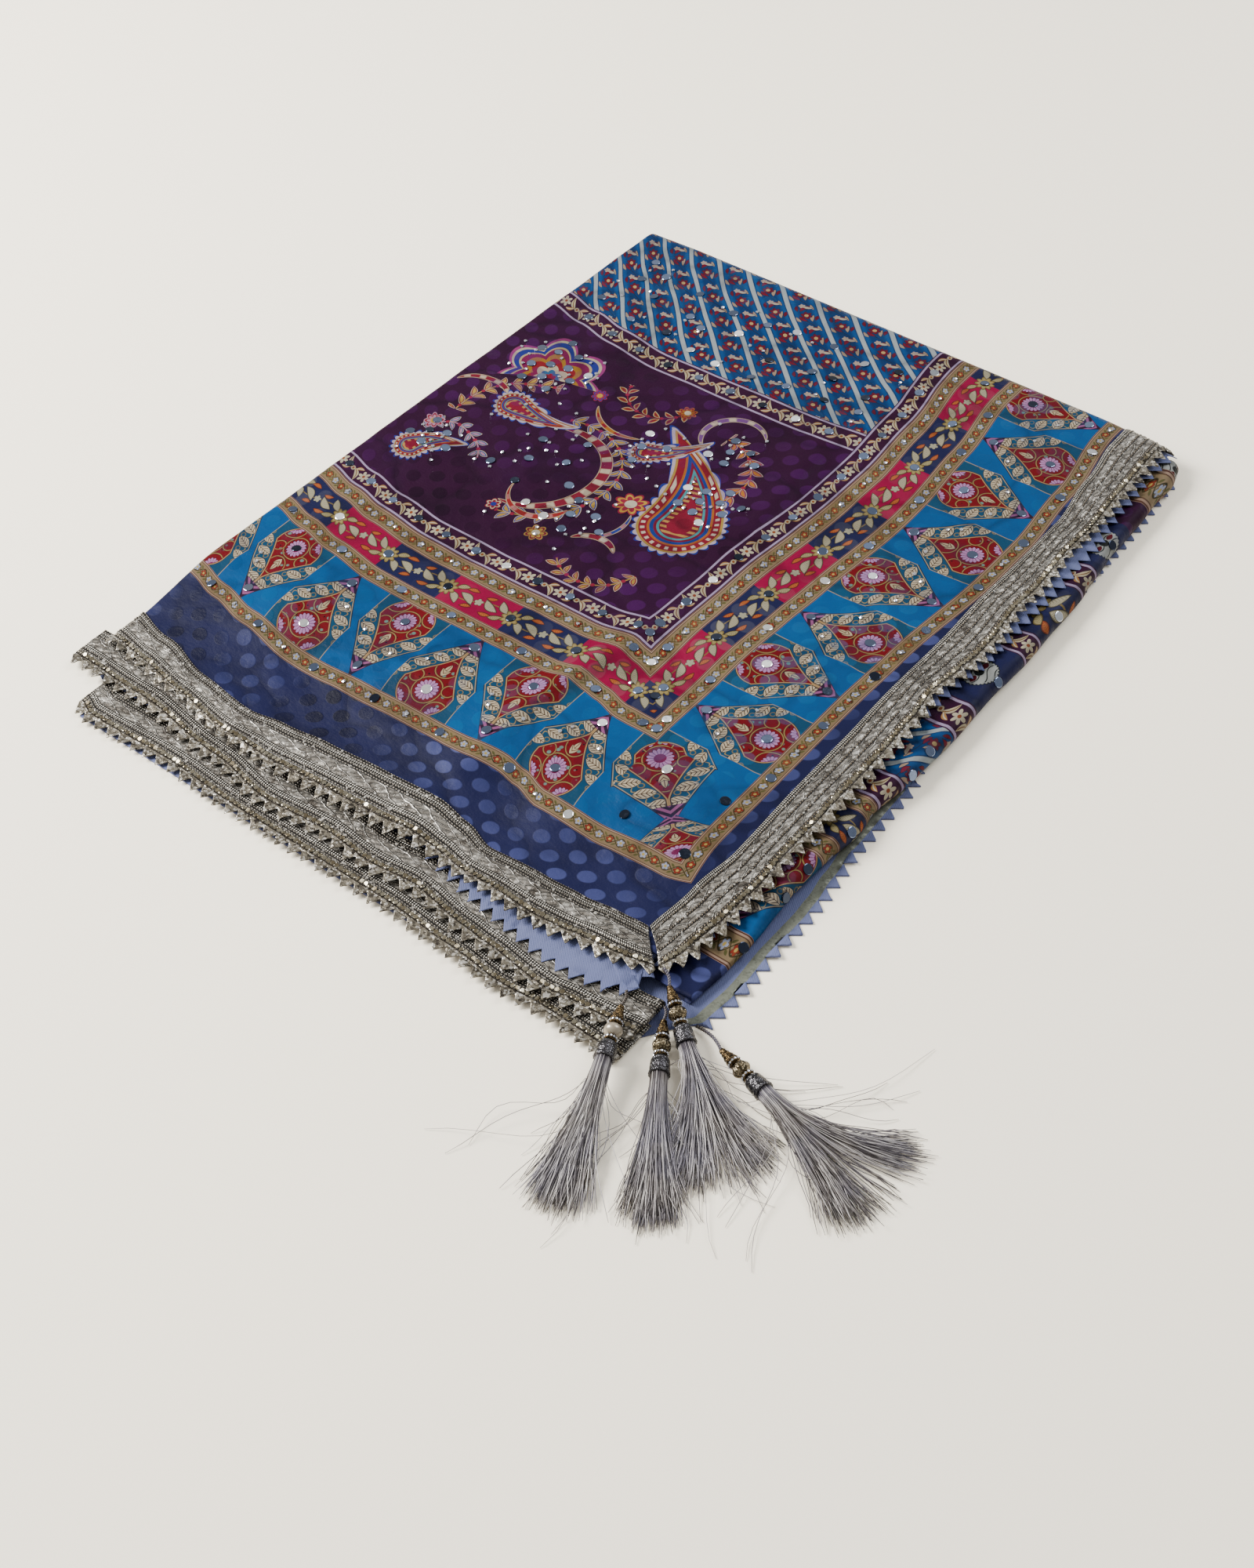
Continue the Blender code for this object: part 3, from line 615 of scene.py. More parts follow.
def satin(name, draw, light="ffffff", dark="000000", dots=0.25):
    """Printed jacquard satin: the drawn print, woven dots that catch the light a little, being glossier than
    the ground, and are painted lighter or darker in patches as painted sheen and painted shade, meandering
    crease lines of painted shade, and a fine weave.
    """
    colours = bpy.context.scene.stole_colours
    finish = Finish(name, Specular_IOR_Level=0.06)
    b, r = finish.pattern()
    paint = draw(finish, colours, b, r)
    shifted = r + b.step_number(DOT_ROWS).is_odd() * DOT_PITCH / 2
    dot = (DOT_RADIUS - length(shifted.tile(DOT_PITCH), b.tile(DOT_ROWS))).inside(0.9)
    # Dots painted lighter and darker in large patches: painted sheen and painted shade, in the light and dark
    # colours given.
    tone = finish.grain(9.0, 1.0)
    bright = (tone - 0.40).ramp(3.0) * dot
    dull = (0.47 - tone).ramp(4.0) * dot
    paint.over(bright, light, dots)
    paint.over(dull, dark, dots * 1.3)
    # Meandering lines painted darker: painted shade in the satin's soft creases, which the bump below also
    # raises.
    fold = abs(finish.grain(13.0, 2.0, (1, 1.4, 1)) - 0.5)
    paint.over((0.05 - fold).ramp(16.0), dark, 0.42)
    finish.colour(paint)
    finish.rough(dot.math("MULTIPLY_ADD", -0.10, 0.44) + finish.grain(160.0, 2.0) * 0.08)
    weave = r.wave(0.5) * 0.25 + finish.grain(300.0, 3.0)
    creased = fold.low(0.12) * 26.0 + finish.grain(48.0, 4.0, (1, 1.5, 1), 0.6) * 5.0
    finish.bump(weave * 0.3 + dot * 0.4 + creased, 0.22)
    return finish.material


def draw_navy(finish, colours, b, r):
    """The navy satin of the ends."""
    return dyed_with_painted_shade(finish, colours.navy, "454b86", "1b1d3c")


class Needlework:
    """The motifs of the purple ground, each drawn at its own place in millimetres."""

    def __init__(self, paint, s, t):
        self.paint = paint
        self.s = s
        self.t = t

    def blossom(self, x, y, radius, petals, outer, inner, heart):
        """A round flower in two colours with a heart."""
        paint = self.paint
        cx, cy = self.s - x, self.t - y
        shape = flower(cx, cy, radius, petals, 0.34)
        paint.fill(shape, outer, 0.4)
        paint.fill(shape - radius * 0.12, inner, 0.4)
        paint.fill(shape - radius * 0.30, outer, 0.4)
        paint.fill(radius * 0.34 - length(cx, cy), heart, 0.4)

    def stem(self, x, y, radius, start, end, width, colour, bead, flip=False):
        """A beaded stem along part of a circle, with start and end in degrees."""
        paint = self.paint
        cx, cy = self.s - x, self.t - y
        middle, half = math.radians((start + end) / 2), math.radians((end - start) / 2)
        turned = spin(cx, cy, math.degrees(middle))
        angle = turned[1].math("ARCTAN2", turned[0])
        taper = (1 - (angle / half).squared()).high(0.0).math("SQRT") * width
        if flip:
            taper = taper * (1 - angle / (half * 1.6))
        shape = taper - abs(length(cx, cy) - radius)
        shape = shape.low((half - abs(angle)) * radius)
        paint.fill(shape, "d8c2a0")
        paint.fill(shape - 0.55, colour)
        beads = (angle * (radius / 2.1)).math("SINE")
        paint.over((shape - 0.9).inside(0.3) * (beads - 0.35).inside(0.5), bead)

    def garland(self, x, y, radius, start, end, pitch, colour, heart, long=10.0, wide=4.0):
        """Pairs of leaves along part of a circle, with a thin stem between them."""
        paint = self.paint
        cx, cy = spin(self.s - x, self.t - y, (start + end) / 2)
        half = math.radians((end - start) / 2)
        angle = cy.math("ARCTAN2", cx)
        off = length(cx, cy) - radius
        inside_arc = (half - abs(angle)) * radius
        paint.fill((0.5 - abs(off)).low(inside_arc), heart)
        lx, ly = spin((angle * radius).tile(pitch), abs(off) - 3.4, 48.0)
        shape = leaf(lx, ly - lx.squared() * 0.05, long, wide).low(inside_arc)
        paint.fill(shape + 0.45, "e3cfb3")
        paint.fill(shape, colour)
        paint.fill(shape - 0.75, heart)
        buds = 1.5 - length((angle * radius).tile(pitch, pitch / 2), off)
        paint.fill(buds.low(inside_arc), "b02c4a")

    def paisley(self, x, y, turn, radius, tail, bend, scallops=13.0):
        """A bent drop, ring within ring, with a scalloped edge."""
        paint = self.paint
        px, py = spin(self.s - x, self.t - y, turn)
        shape = drop(px, py, radius, tail, bend)
        angle = py.math("ARCTAN2", px)
        teeth = abs((angle * scallops).math("SINE"))
        paint.fill(shape + teeth * 4.2, "2b3fa8", 0.4)
        paint.fill(shape + teeth * 2.6, "d9c7d8", 0.4)
        paint.fill(shape, "c9a24e", 0.4)
        paint.fill(shape - radius * 0.06, "9c1c34", 0.4)
        dots = ((angle * (scallops * 2.0)).math("SINE") - 0.2).inside(0.5)
        ringed = (radius * 0.05 - abs(shape - radius * 0.15)).inside(0.4)
        paint.over(ringed * dots, "ead9c4")
        paint.fill(shape - radius * 0.25, "c8742e", 0.4)
        paint.fill(shape - radius * 0.31, "2447a0", 0.4)
        paint.fill(shape - radius * 0.40, "8f1a3a", 0.4)
        paint.fill(radius * 0.03 - abs(shape - radius * 0.50), "4fb0b8")
        stripes = (py.wave(5.0) - 0.1).inside(0.6)
        paint.over((shape - radius * 0.55).inside(0.4) * stripes, "d8a35a")
        paint.fill(shape - radius * 0.70, "a01c3c", 0.4)

    def lotus(self, x, y, turn):
        """A fan of petals, ring within ring."""
        lx, ly = spin(self.s - x, self.t - y, turn)
        angle = lx.math("ARCTAN2", ly)
        fan = (1.75 - abs(angle)) * 30.0
        wave = abs((angle * 3.2).math("COSINE"))
        for radius, colour in (
            (44.0, "b0418a"), (41.0, "e0cfae"), (38.5, "2c3a9c"), (33.0, "d9c08a"), (31.0, "8f1a5a"),
            (25.0, "b9862f"), (20.0, "a3232f"), (14.0, "e0cfae"), (9.0, "3a6fa0"), (5.0, "9c1c34"),
        ):
            shape = (wave.math("MULTIPLY_ADD", radius * 0.28, radius * 0.72) - length(lx, ly)).low(fan)
            self.paint.fill(shape, colour, 0.5)


def draw_ground(finish, colours, s, t):
    """The purple ground with a paisley, a lotus, curled stems and small flowers of a general kind."""
    paint = dyed_with_painted_shade(finish, colours.purple, "4a1a5a", "1c0825")
    work = Needlework(paint, s, t)
    work.garland(345.0, 318.0, 54.0, 70.0, 262.0, 12.0, "2b3fa8", "c9a24e")
    work.garland(372.0, 330.0, 62.0, -10.0, 70.0, 11.0, "96203a", "d8b25a")
    work.garland(268.0, 372.0, 44.0, 95.0, 205.0, 11.0, "8f2a6a", "d98a3a")
    work.garland(250.0, 270.0, 30.0, 190.0, 320.0, 10.0, "96203a", "c9a24e", 8.0, 3.4)
    work.garland(410.0, 280.0, 30.0, 20.0, 150.0, 10.0, "2b5fa8", "d9a0b8", 8.0, 3.4)
    work.garland(330.0, 430.0, 26.0, 190.0, 350.0, 10.0, "c07a2c", "96203a", 8.0, 3.2)
    work.stem(345.0, 318.0, 44.0, 60.0, 268.0, 4.2, "96203a", "e3cfb3")
    work.stem(322.0, 296.0, 24.0, -170.0, 5.0, 2.4, "b3302f", "d98a8a", True)
    work.stem(262.0, 418.0, 22.0, -60.0, 150.0, 2.6, "8a5a9c", "e3cfb3")
    work.stem(330.0, 410.0, 34.0, -120.0, -30.0, 2.0, "c07a2c", "9c1c34")
    work.stem(430.0, 330.0, 30.0, 20.0, 140.0, 2.6, "96203a", "e3cfb3")
    work.stem(285.0, 300.0, 26.0, 150.0, 250.0, 1.8, "3547a5", "d98a8a")
    work.stem(262.0, 262.0, 20.0, 30.0, 140.0, 2.8, "96203a", "e8d8c0")
    work.paisley(230.0, 322.0, -14.0, 28.0, 96.0, 0.0052)
    work.paisley(300.0, 372.0, 66.0, 10.0, 40.0, 0.012, 9.0)
    work.paisley(430.0, 270.0, 20.0, 12.0, 38.0, -0.012, 9.0)
    work.paisley(404.0, 352.0, 100.0, 13.0, 46.0, 0.010, 9.0)

    work.lotus(408.0, 392.0, -28.0)
    work.blossom(270.0, 322.0, 12.0, 8, "b02c4a", "e2b24a", "efe2c8")
    work.blossom(300.0, 262.0, 8.0, 7, "c9a24e", "8f1a3a", "efe2c8")
    work.blossom(342.0, 268.0, 6.0, 6, "9c1c34", "e0cfae", "2c3a9c")
    work.blossom(366.0, 402.0, 6.5, 8, "b02c4a", "2c3a9c", "e2b24a")
    work.blossom(436.0, 300.0, 8.5, 8, "d9a0b8", "a3232f", "e2b24a")
    work.blossom(305.0, 424.0, 7.0, 8, "c07a2c", "9c1c34", "efe2c8")
    return paint


def draw_ochre(finish, colours, a, r):
    """The narrow gold borders: a wavy vine with blue-white flowers and red rosettes by turns."""
    paint = dyed_with_painted_shade(finish, colours.gold, "d6c4a4", "866e4e")
    paint.fill(abs(a) - 4.9, "c9a892", 0.25)
    paint.fill(0.20 - abs(abs(a) - 4.9), "5a3a28")
    paint.fill(0.25 - abs(abs(a) - 6.1), "5a2c24")
    wave = r.wave(16.0) * 2.7
    for side in (1.0, -1.0):
        paint.fill(0.42 - abs(a - wave * side), "4a4426", 0.35)
    x = r.tile(8.0, 4.0)
    odd = r.step_number(8.0, 4.0).is_odd()
    rosette = flower(x, a, 2.5, 5, 0.45)
    paint.fill(rosette + 0.3, "33271c")
    paint.over(rosette.inside(0.3) * odd, "a33a28")
    paint.over(rosette.inside(0.3) * (1 - odd), "c3cbe6")
    paint.fill(0.9 - length(x, a), "e2c46a")
    lx, ly = spin(r.tile(8.0), abs(a) - 2.4, 35.0)
    paint.fill(leaf(lx, ly, 3.6, 1.4), "6c6a3c")
    return paint


def draw_vine(finish, colours, a, r):
    """The aubergine border between two lilac-white lines, with ivory stars and curled leaves."""
    paint = dyed_with_painted_shade(finish, colours.aubergine, "45184a", "160818")
    paint.fill(0.75 - abs(abs(a) - 8.0), "c9b3d9", 0.25)
    x = r.tile(27.0)
    side = r.tile(27.0, 13.5)
    for turn, along, up, long, wide, ground, heart in (
        (46.0, 6.4, 1.4, 11.5, 3.6, "dccdaa", "8a5a30"), (-34.0, 5.4, -3.4, 8.0, 2.8, "c7955c", "f0e4c8"),
    ):
        for flip in (1.0, -1.0):
            lx, ly = spin(side * flip - along, a * flip - up, turn)
            shape = leaf(lx, ly - lx.squared() * 0.07, long, wide)
            paint.fill(shape, ground)
            paint.fill((0.35 - abs(ly - lx.squared() * 0.07)).low(shape - 0.4), heart)
    curl = length(side, a)
    paint.fill(1.9 - curl, "dccdaa")
    paint.fill(1.0 - curl, "a8622c")
    star = flower(x, a, 5.0, 6, 0.62)
    paint.fill(star, "e6dabc")
    paint.fill(1.2 - length(x, a), "a8562c")
    return paint


def draw_blocks(finish, colours, b, r):
    """Navy and magenta blocks by turns, with acanthus leaves and a daisy on each join."""
    a = b - (BAND_EDGES[3] + BAND_EDGES[4]) / 2
    start = SIDE_PHASE + REPEAT / 2
    odd = r.step_number(REPEAT, start).is_odd()
    paint = Paint(finish.tree, tuple(colours.navy), DYE)
    paint.over(odd, tuple(colours.magenta))
    # Darker in large soft patches: uneven dye and painted shade, as on the grounds of the other satins.
    patches = finish.grain(30.0, 2.0)
    paint.over((0.5 - patches).ramp(2.4), "1a1020", 0.4)
    x = r.tile(REPEAT, SIDE_PHASE)
    stem = x.wave(REPEAT) * 4.0
    paint.fill(0.4 - abs(a - stem), "9a8248")
    for along, up, turn, long, wide, colour, heart in (
        (10.0, 4.6, 38.0, 12.5, 5.2, "8f876c", "d2c8a8"), (9.0, -5.4, -30.0, 10.0, 4.2, "857648", "c6b888"),
        (18.5, 0.4, 24.0, 14.0, 5.6, "8f876c", "d6ccac"), (17.0, -7.0, -12.0, 9.0, 3.4, "a3442a", "d8793a"),
        (21.5, 7.0, -22.0, 8.0, 3.2, "a3442a", "d8793a"),
    ):
        side = x * (x.math("SIGN"))
        lx, ly = spin(side - along, a * x.math("SIGN") - up, turn)
        bent = ly - lx.squared() * 0.035
        shape = leaf(lx, bent, long, wide)
        paint.fill(shape + 0.35, "2a2320")
        paint.fill(shape, colour)
        veins = abs((lx * 2.2 + abs(bent) * 2.0).math("SINE")) - 0.35
        paint.over((shape - 0.45).inside(0.3) * veins.inside(0.6), heart)
    far = r.tile(REPEAT, start)
    small = flower(far, a, 3.1, 5, 0.4)
    paint.fill(small + 0.3, "2a2320")
    paint.fill(small, "c6c2a6")
    daisy = flower(x, a, 7.2, 9, 0.36)
    paint.fill(daisy + 0.4, "2a2320")
    paint.fill(daisy, "a08a50")
    paint.fill(daisy - 1.2, "c4ae72")
    paint.fill(3.3 - length(x, a), "5a4a2c")
    return paint


LEAF_PITCH = 12.0


def draw_medallion(finish, colours, b, r):
    """The blue band with red drops that point in and out by turns, each in a border of leaves."""
    low, high = BAND_EDGES[1], BAND_EDGES[2]
    start = SIDE_PHASE - REPEAT
    inward = r.step_number(REPEAT, start).is_odd()
    x = r.tile(REPEAT, start)
    side = abs(x)
    y = (b - low) * (1 - inward) + (high - b) * inward
    paint = dyed_with_painted_shade(finish, colours.blue, "1f86cc", "07406e")

    drop_edge = ((1 - (y - 13.0) / 34.0).high(0.0).math("POWER", 1.3) * 22.0 - side) * 0.80
    leaf_edge = ((1 - (y - 12.0) / 54.0).high(0.0).math("POWER", 1.15) * 41.0 - side) * 0.84
    outer = leaf_edge.low(27.2 - side)
    inner = drop_edge.low(19.4 - length(side, (13.0 - y).high(0.0) * 1.15))
    paint.fill(outer + 0.5, "2b2a2c")
    paint.fill(outer, "21587e")
    paint.fill(0.28 - abs(outer - 0.5), "cdb58e")
    draw_border_leaves(paint, y * 0.842 - side * 0.54, (drop_edge + leaf_edge) * -0.5, outer, inner)
    draw_red_drop(finish, paint, tuple(colours.red), x, y, side, inner)

    tip = ((66.0 - y) * 0.62 - side).low(y - 51.5)
    comb = (side * 1.0 + y * 1.25).math("SINE") - 0.1
    paint.fill(tip, "3a1c3c")
    paint.over((tip - 0.3).inside(0.3) * comb.inside(0.5), "b96aa2")
    return paint


def draw_border_leaves(paint, along, off, outer, inner):
    """Veined leaves and scrolls in the border, along the slanting side of the drop."""
    border = (outer - 0.4).low(-1.2 - inner)
    lx, ly = spin(along.tile(LEAF_PITCH, 3.0), off, -52.0)
    shape = leaf(lx, ly, 12.6, 7.4)
    scroll = (0.38 - abs(off + along.wave(LEAF_PITCH) * 3.6)).inside(0.3)
    paint.over(border.inside(0.3) * scroll, "c4a868")
    paint.fill((shape + 0.45).low(border), "2a221c")
    paint.fill(shape.low(border), "ecd9ba")
    veins = (lx * 2.5 - abs(ly) * 2.3).math("SINE")
    paint.over((shape - 0.4).low(border).inside(0.3) * (veins - 0.62).inside(0.5), "57402c")
    paint.fill((0.22 - abs(ly)).low(shape).low(border), "4e3c2c")
    curl = length(along.tile(LEAF_PITCH, 9.0), off + 2.8)
    paint.fill((0.3 - abs(curl - 1.7)).low(border), "a08a58")


def draw_red_drop(finish, paint, red, x, y, side, inner):
    """The red drop with its daisy, scrolls and half flowers."""
    paint.fill(inner + 1.1, "3a2018")
    paint.fill(inner + 0.7, "d0ac78")
    paint.fill(inner, red)
    specks = (0.16 - finish.cells(260.0)) * 6.0
    paint.over((inner - 0.8).inside(0.3) * specks.inside(0.6), "2a1418")
    teal = (0.20 - finish.cells(150.0)) * 6.0
    paint.over((inner - 1.2).inside(0.3) * teal.inside(0.5), "7fa79a")
    within = inner - 0.5
    for cx, cy, radius in ((0.0, 14.0, 9.8), (15.5, 1.5, 9.0), (0.0, 33.0, 7.5), (13.0, 19.5, 4.4)):
        ring = 0.4 - abs(length(side - cx, y - cy) - radius)
        paint.fill((ring + 0.3).low(within), "3a1c18")
        paint.fill(ring.low(within), "b8935a")
    for cx, cy, radius, petals in ((0.0, 14.0, 7.6, 16), (15.5, 0.5, 6.2, 14)):
        px, py = side - cx if cx else x, y - cy
        shape = flower(px, py, radius, petals, 0.20)
        paint.fill((shape + 0.4).low(within), "3a1030")
        paint.fill(shape.low(within), "dca0d6")
        spokes = abs((py.math("ARCTAN2", px) * (petals / 2)).math("COSINE")) - 0.30
        paint.over((shape - 0.2).low(within).inside(0.3) * (0 - spokes).inside(0.3), "7a3a7c")
        paint.fill((radius * 0.46 - length(px, py)).low(within), "8f1a5a")
    for turn in (0.0, 40.0):
        px, py = spin(y - 29.0, side, turn) if turn else (y - 33.0, side)
        shape = leaf(px, py, 9.0, 3.4)
        paint.fill((shape + 0.35).low(within), "3a1c18")
        paint.fill(shape.low(within), "e6cfa6")
        paint.fill((0.25 - abs(py)).low(shape - 0.3).low(within), "6b3a24")


def draw_diagonal(finish, colours, s, t):
    """The blue panel with silvery diagonal lines and flowered stripes between them."""
    paint = dyed_with_painted_shade(finish, colours.panel, "2b7cc0", "082c58")
    root = math.sqrt(0.5)
    across = (t - s - 103.0) * root
    along = (t + s) * root
    pitch = 31.5 * root
    a = across.tile(pitch, pitch / 2)
    step = across.step_number(pitch, pitch / 2)
    odd = step.is_odd()
    x = (along + odd * 9.0)
    near = x.tile(27.0)
    far = x.tile(27.0, 13.5)
    paint.fill(5.6 - abs(a), "0d2a5e", 2.4, 0.6)
    vine = x.wave(27.0) * 3.2
    paint.fill(0.35 - abs(a - vine), "24304a")
    for centre, up, turn, long, wide, colour in (
        (near, 0.0, 58.0, 10.0, 3.4, "8a1634"), (far, 3.4, 20.0, 8.0, 2.8, "c0a48c"),
        (far, -3.8, -34.0, 8.0, 2.8, "8a1634"), (near, 5.6, -12.0, 6.5, 2.2, "c0a48c"),
        (near, -5.8, 8.0, 6.5, 2.2, "7c1230"), (far, 7.2, 40.0, 7.0, 2.6, "7c1230"),
        (far, -7.4, -20.0, 7.0, 2.6, "c0a48c"), (near, 2.2, -58.0, 8.0, 2.6, "d8c4ae"),
    ):
        lx, ly = spin(centre - 5.0, a - up, turn)
        shape = leaf(lx, ly - lx.squared() * 0.05, long, wide)
        paint.fill(shape + 0.35, "1a2438")
        paint.fill(shape, colour)
    blossom = flower(near + 4.5, a, 4.3, 6, 0.4)
    paint.fill(blossom + 0.35, "1a2438")
    paint.fill(blossom, "7c1230")
    paint.fill(1.6 - length(near + 4.5, a), "d9b87a")
    bud = flower(far + 6.0, a + 1.0, 2.6, 5, 0.4)
    paint.fill(bud, "c9b3a2")
    edge = pitch / 2 - abs(a)
    paint.fill(2.6 - edge, "0a3f78", 0.4)
    paint.fill(1.75 - edge, "c2ccd0", 0.5)
    return paint


def draw_roundel(finish, colours, a, r):
    """The navy band of the roll with white and burgundy roundels."""
    paint = dyed_with_painted_shade(finish, colours.navy, "3c427c", "14152c")
    x = r.tile(36.0, 6.0)
    shape = flower(x, a, 13.0, 30, 0.08)
    paint.fill(shape, "1d2420")
    paint.fill(shape - 0.8, "c9cdc9")
    lines = abs((x * 0.55 + (a * 0.25).math("SINE") * 1.5).math("SINE")) - 0.22
    paint.over((shape - 1.4).inside(0.3) * (0 - lines).inside(0.2), "1d2420")
    for up in (7.0, -7.0):
        paint.fill(leaf(a - up, x, 7.0, 4.0), "6e1626")
    paint.fill(3.2 - length(x, a), "1d2420")
    return paint


HIDDEN_LAYER_PITCH = 3.4


def reverse_satin(name):
    """The lavender reverse: a dull twill with faint diagonal ribs."""
    colours = bpy.context.scene.stole_colours
    finish = Finish(name, Specular_IOR_Level=0.15)
    paint = dye_and_painted_shade(finish, Paint(finish.tree, tuple(colours.lavender), REVERSE_DYE), "9aa3d6", "5f69a4")
    x, y = finish.axis(0), finish.axis(1)
    ribs = (x + y).wave(1.1)
    paint.over(ribs.math("MULTIPLY_ADD", 0.5, 0.5, clamp=True), "6b76b4", 0.30)
    finish.colour(paint)
    finish.uneven(120.0, 0.15, 0.52)
    finish.bump(ribs * 0.4 + finish.grain(70.0, 3.0) * 1.5, 0.15)
    return finish.material


def hidden_layers():
    """Dresses the solid that stands for the hidden layers in their edges, layer on layer, with a dark line of
    painted shade between each layer and the next and soft patches of painted sheen and shade.
    """
    colours = bpy.context.scene.stole_colours
    finish = Finish("hidden_layers", Roughness=0.55, Sheen_Weight=0.2)
    layer = finish.axis(2).wave(HIDDEN_LAYER_PITCH)
    paint = Paint(finish.tree, tuple(colours.lavender))
    paint.fill(layer, tuple(colours.purple), 0.4)
    # A near-black line where one layer meets the next: painted shade in the gap between them.
    paint.fill(0.35 - abs(layer), "15101c")
    dye_and_painted_shade(finish, paint, "8d6aa8", "0d0812")
    finish.colour(paint)
    finish.bump(layer + finish.grain(120.0, 3.0), 0.3)
    for item in bpy.data.objects["inner_folds"].material_slots:
        item.material = finish.material


# Making meshes


def grid_faces(rows, columns, start=0):
    """Faces of a grid of points, as four corners each."""
    faces = []
    for row in range(rows - 1):
        for column in range(columns - 1):
            corner = start + row * columns + column
            faces.append((corner, corner + 1, corner + 1 + columns, corner + columns))
    return faces


class Strips:
    """The points and faces of a sheet, gathered strip by strip."""

    def __init__(self):
        self.points = []
        self.faces = []
        self.slots = []

    def add(self, lines, slots=None):
        """Adds a strip between lines of points, with a finish for each row of its faces."""
        cells = len(lines[0]) - 1
        made = grid_faces(len(lines), cells + 1, len(self.points))
        for line in lines:
            self.points += line
        self.faces += made
        self.slots += [slots[index // cells] if slots else 0 for index in range(len(made))]


def tooth_bases(edge, steps):
    """For each tooth of a pinked edge: its number, the stretch of the edge under it and its middle."""
    for tooth in range(len(edge) // steps):
        base = edge[tooth * steps:(tooth + 1) * steps + 1]
        yield tooth, base, base[steps // 2]


def new_piece(name, points, faces, materials, tones=None):
    """A piece from its points and faces, with its finishes and the tone of each point."""
    mesh = bpy.data.meshes.new(name)
    mesh.from_pydata(points, [], faces)
    for item in materials:
        mesh.materials.append(item)
    if tones:
        mesh.attributes.new("tone", "FLOAT", "POINT").data.foreach_set("value", tones)
    piece = bpy.data.objects.new(name, mesh)
    bpy.context.scene.collection.objects.link(piece)
    return piece


def shown_alone(piece):
    """Selects one piece and nothing else."""
    bpy.ops.object.select_all(action="DESELECT")
    piece.select_set(True)
    bpy.context.view_layer.objects.active = piece


def open_all():
    """Opens the active piece in edit mode, with all of it selected."""
    bpy.ops.object.mode_set(mode="EDIT")
    bpy.ops.mesh.select_all(action="SELECT")


def close_outward():
    """Turns all the faces of the open piece outwards and leaves edit mode."""
    bpy.ops.mesh.select_all(action="SELECT")
    bpy.ops.mesh.normals_make_consistent(inside=False)
    bpy.ops.object.mode_set(mode="OBJECT")


def sheet_piece(name, points, faces, materials, slots=None, uvs=None, wall=0.5):
    """A sheet of cloth or lace: its outer face is given, and its wall goes inwards from it."""
    piece = new_piece(name, points, faces, materials)
    mesh = piece.data
    if slots:
        mesh.polygons.foreach_set("material_index", slots)
    if uvs:
        layer = mesh.uv_layers.new(name="print")
        layer.data.foreach_set("uv", [value for pair in uvs for value in pair])
    shown_alone(piece)
    open_all()
    close_outward()
    middle = mesh.polygons[len(mesh.polygons) // 2]
    if middle.normal.z < 0:
        mesh.flip_normals()
    solid = piece.modifiers.new("wall", "SOLIDIFY")
    solid.thickness = wall * MM
    solid.offset = -1.0
    bpy.ops.object.modifier_apply(modifier=solid.name)
    bpy.ops.object.shade_smooth()
    return piece


def joined_copies(name, pattern, matrices, material, tones=None):
    """One piece with a copy of a modelled pattern at each place. The pattern is then removed."""
    points, faces, values = [], [], []
    source = pattern.data
    for index, matrix in enumerate(matrices):
        base = len(points)
        points += [matrix @ vertex.co for vertex in source.vertices]
        faces += [tuple(base + corner for corner in face.vertices) for face in source.polygons]
        if tones:
            values += [tones[index]] * len(source.vertices)
    smooth = [face.use_smooth for face in source.polygons] * len(matrices)
    piece = new_piece(name, points, faces, [material], values)
    piece.data.polygons.foreach_set("use_smooth", smooth)
    bpy.data.objects.remove(pattern)
    return piece


def frame_on(point, normal, turn=0.0):
    """A matrix that lays a piece modelled on the ground onto a surface."""
    up = normal.normalized()
    side = Vector((math.cos(turn), math.sin(turn), 0.0))
    side = (side - up * side.dot(up)).normalized()
    matrix = Matrix((side, up.cross(side), up)).transposed().to_4x4()
    return Matrix.Translation(point) @ matrix


def top_normal(x, y):
    """The direction that the top layer faces at a place."""
    here = on_top(x, y, 0.0)
    return (on_top(x + 1, y, 0.0) - here).cross(on_top(x, y + 1, 0.0) - here)


# The cloth


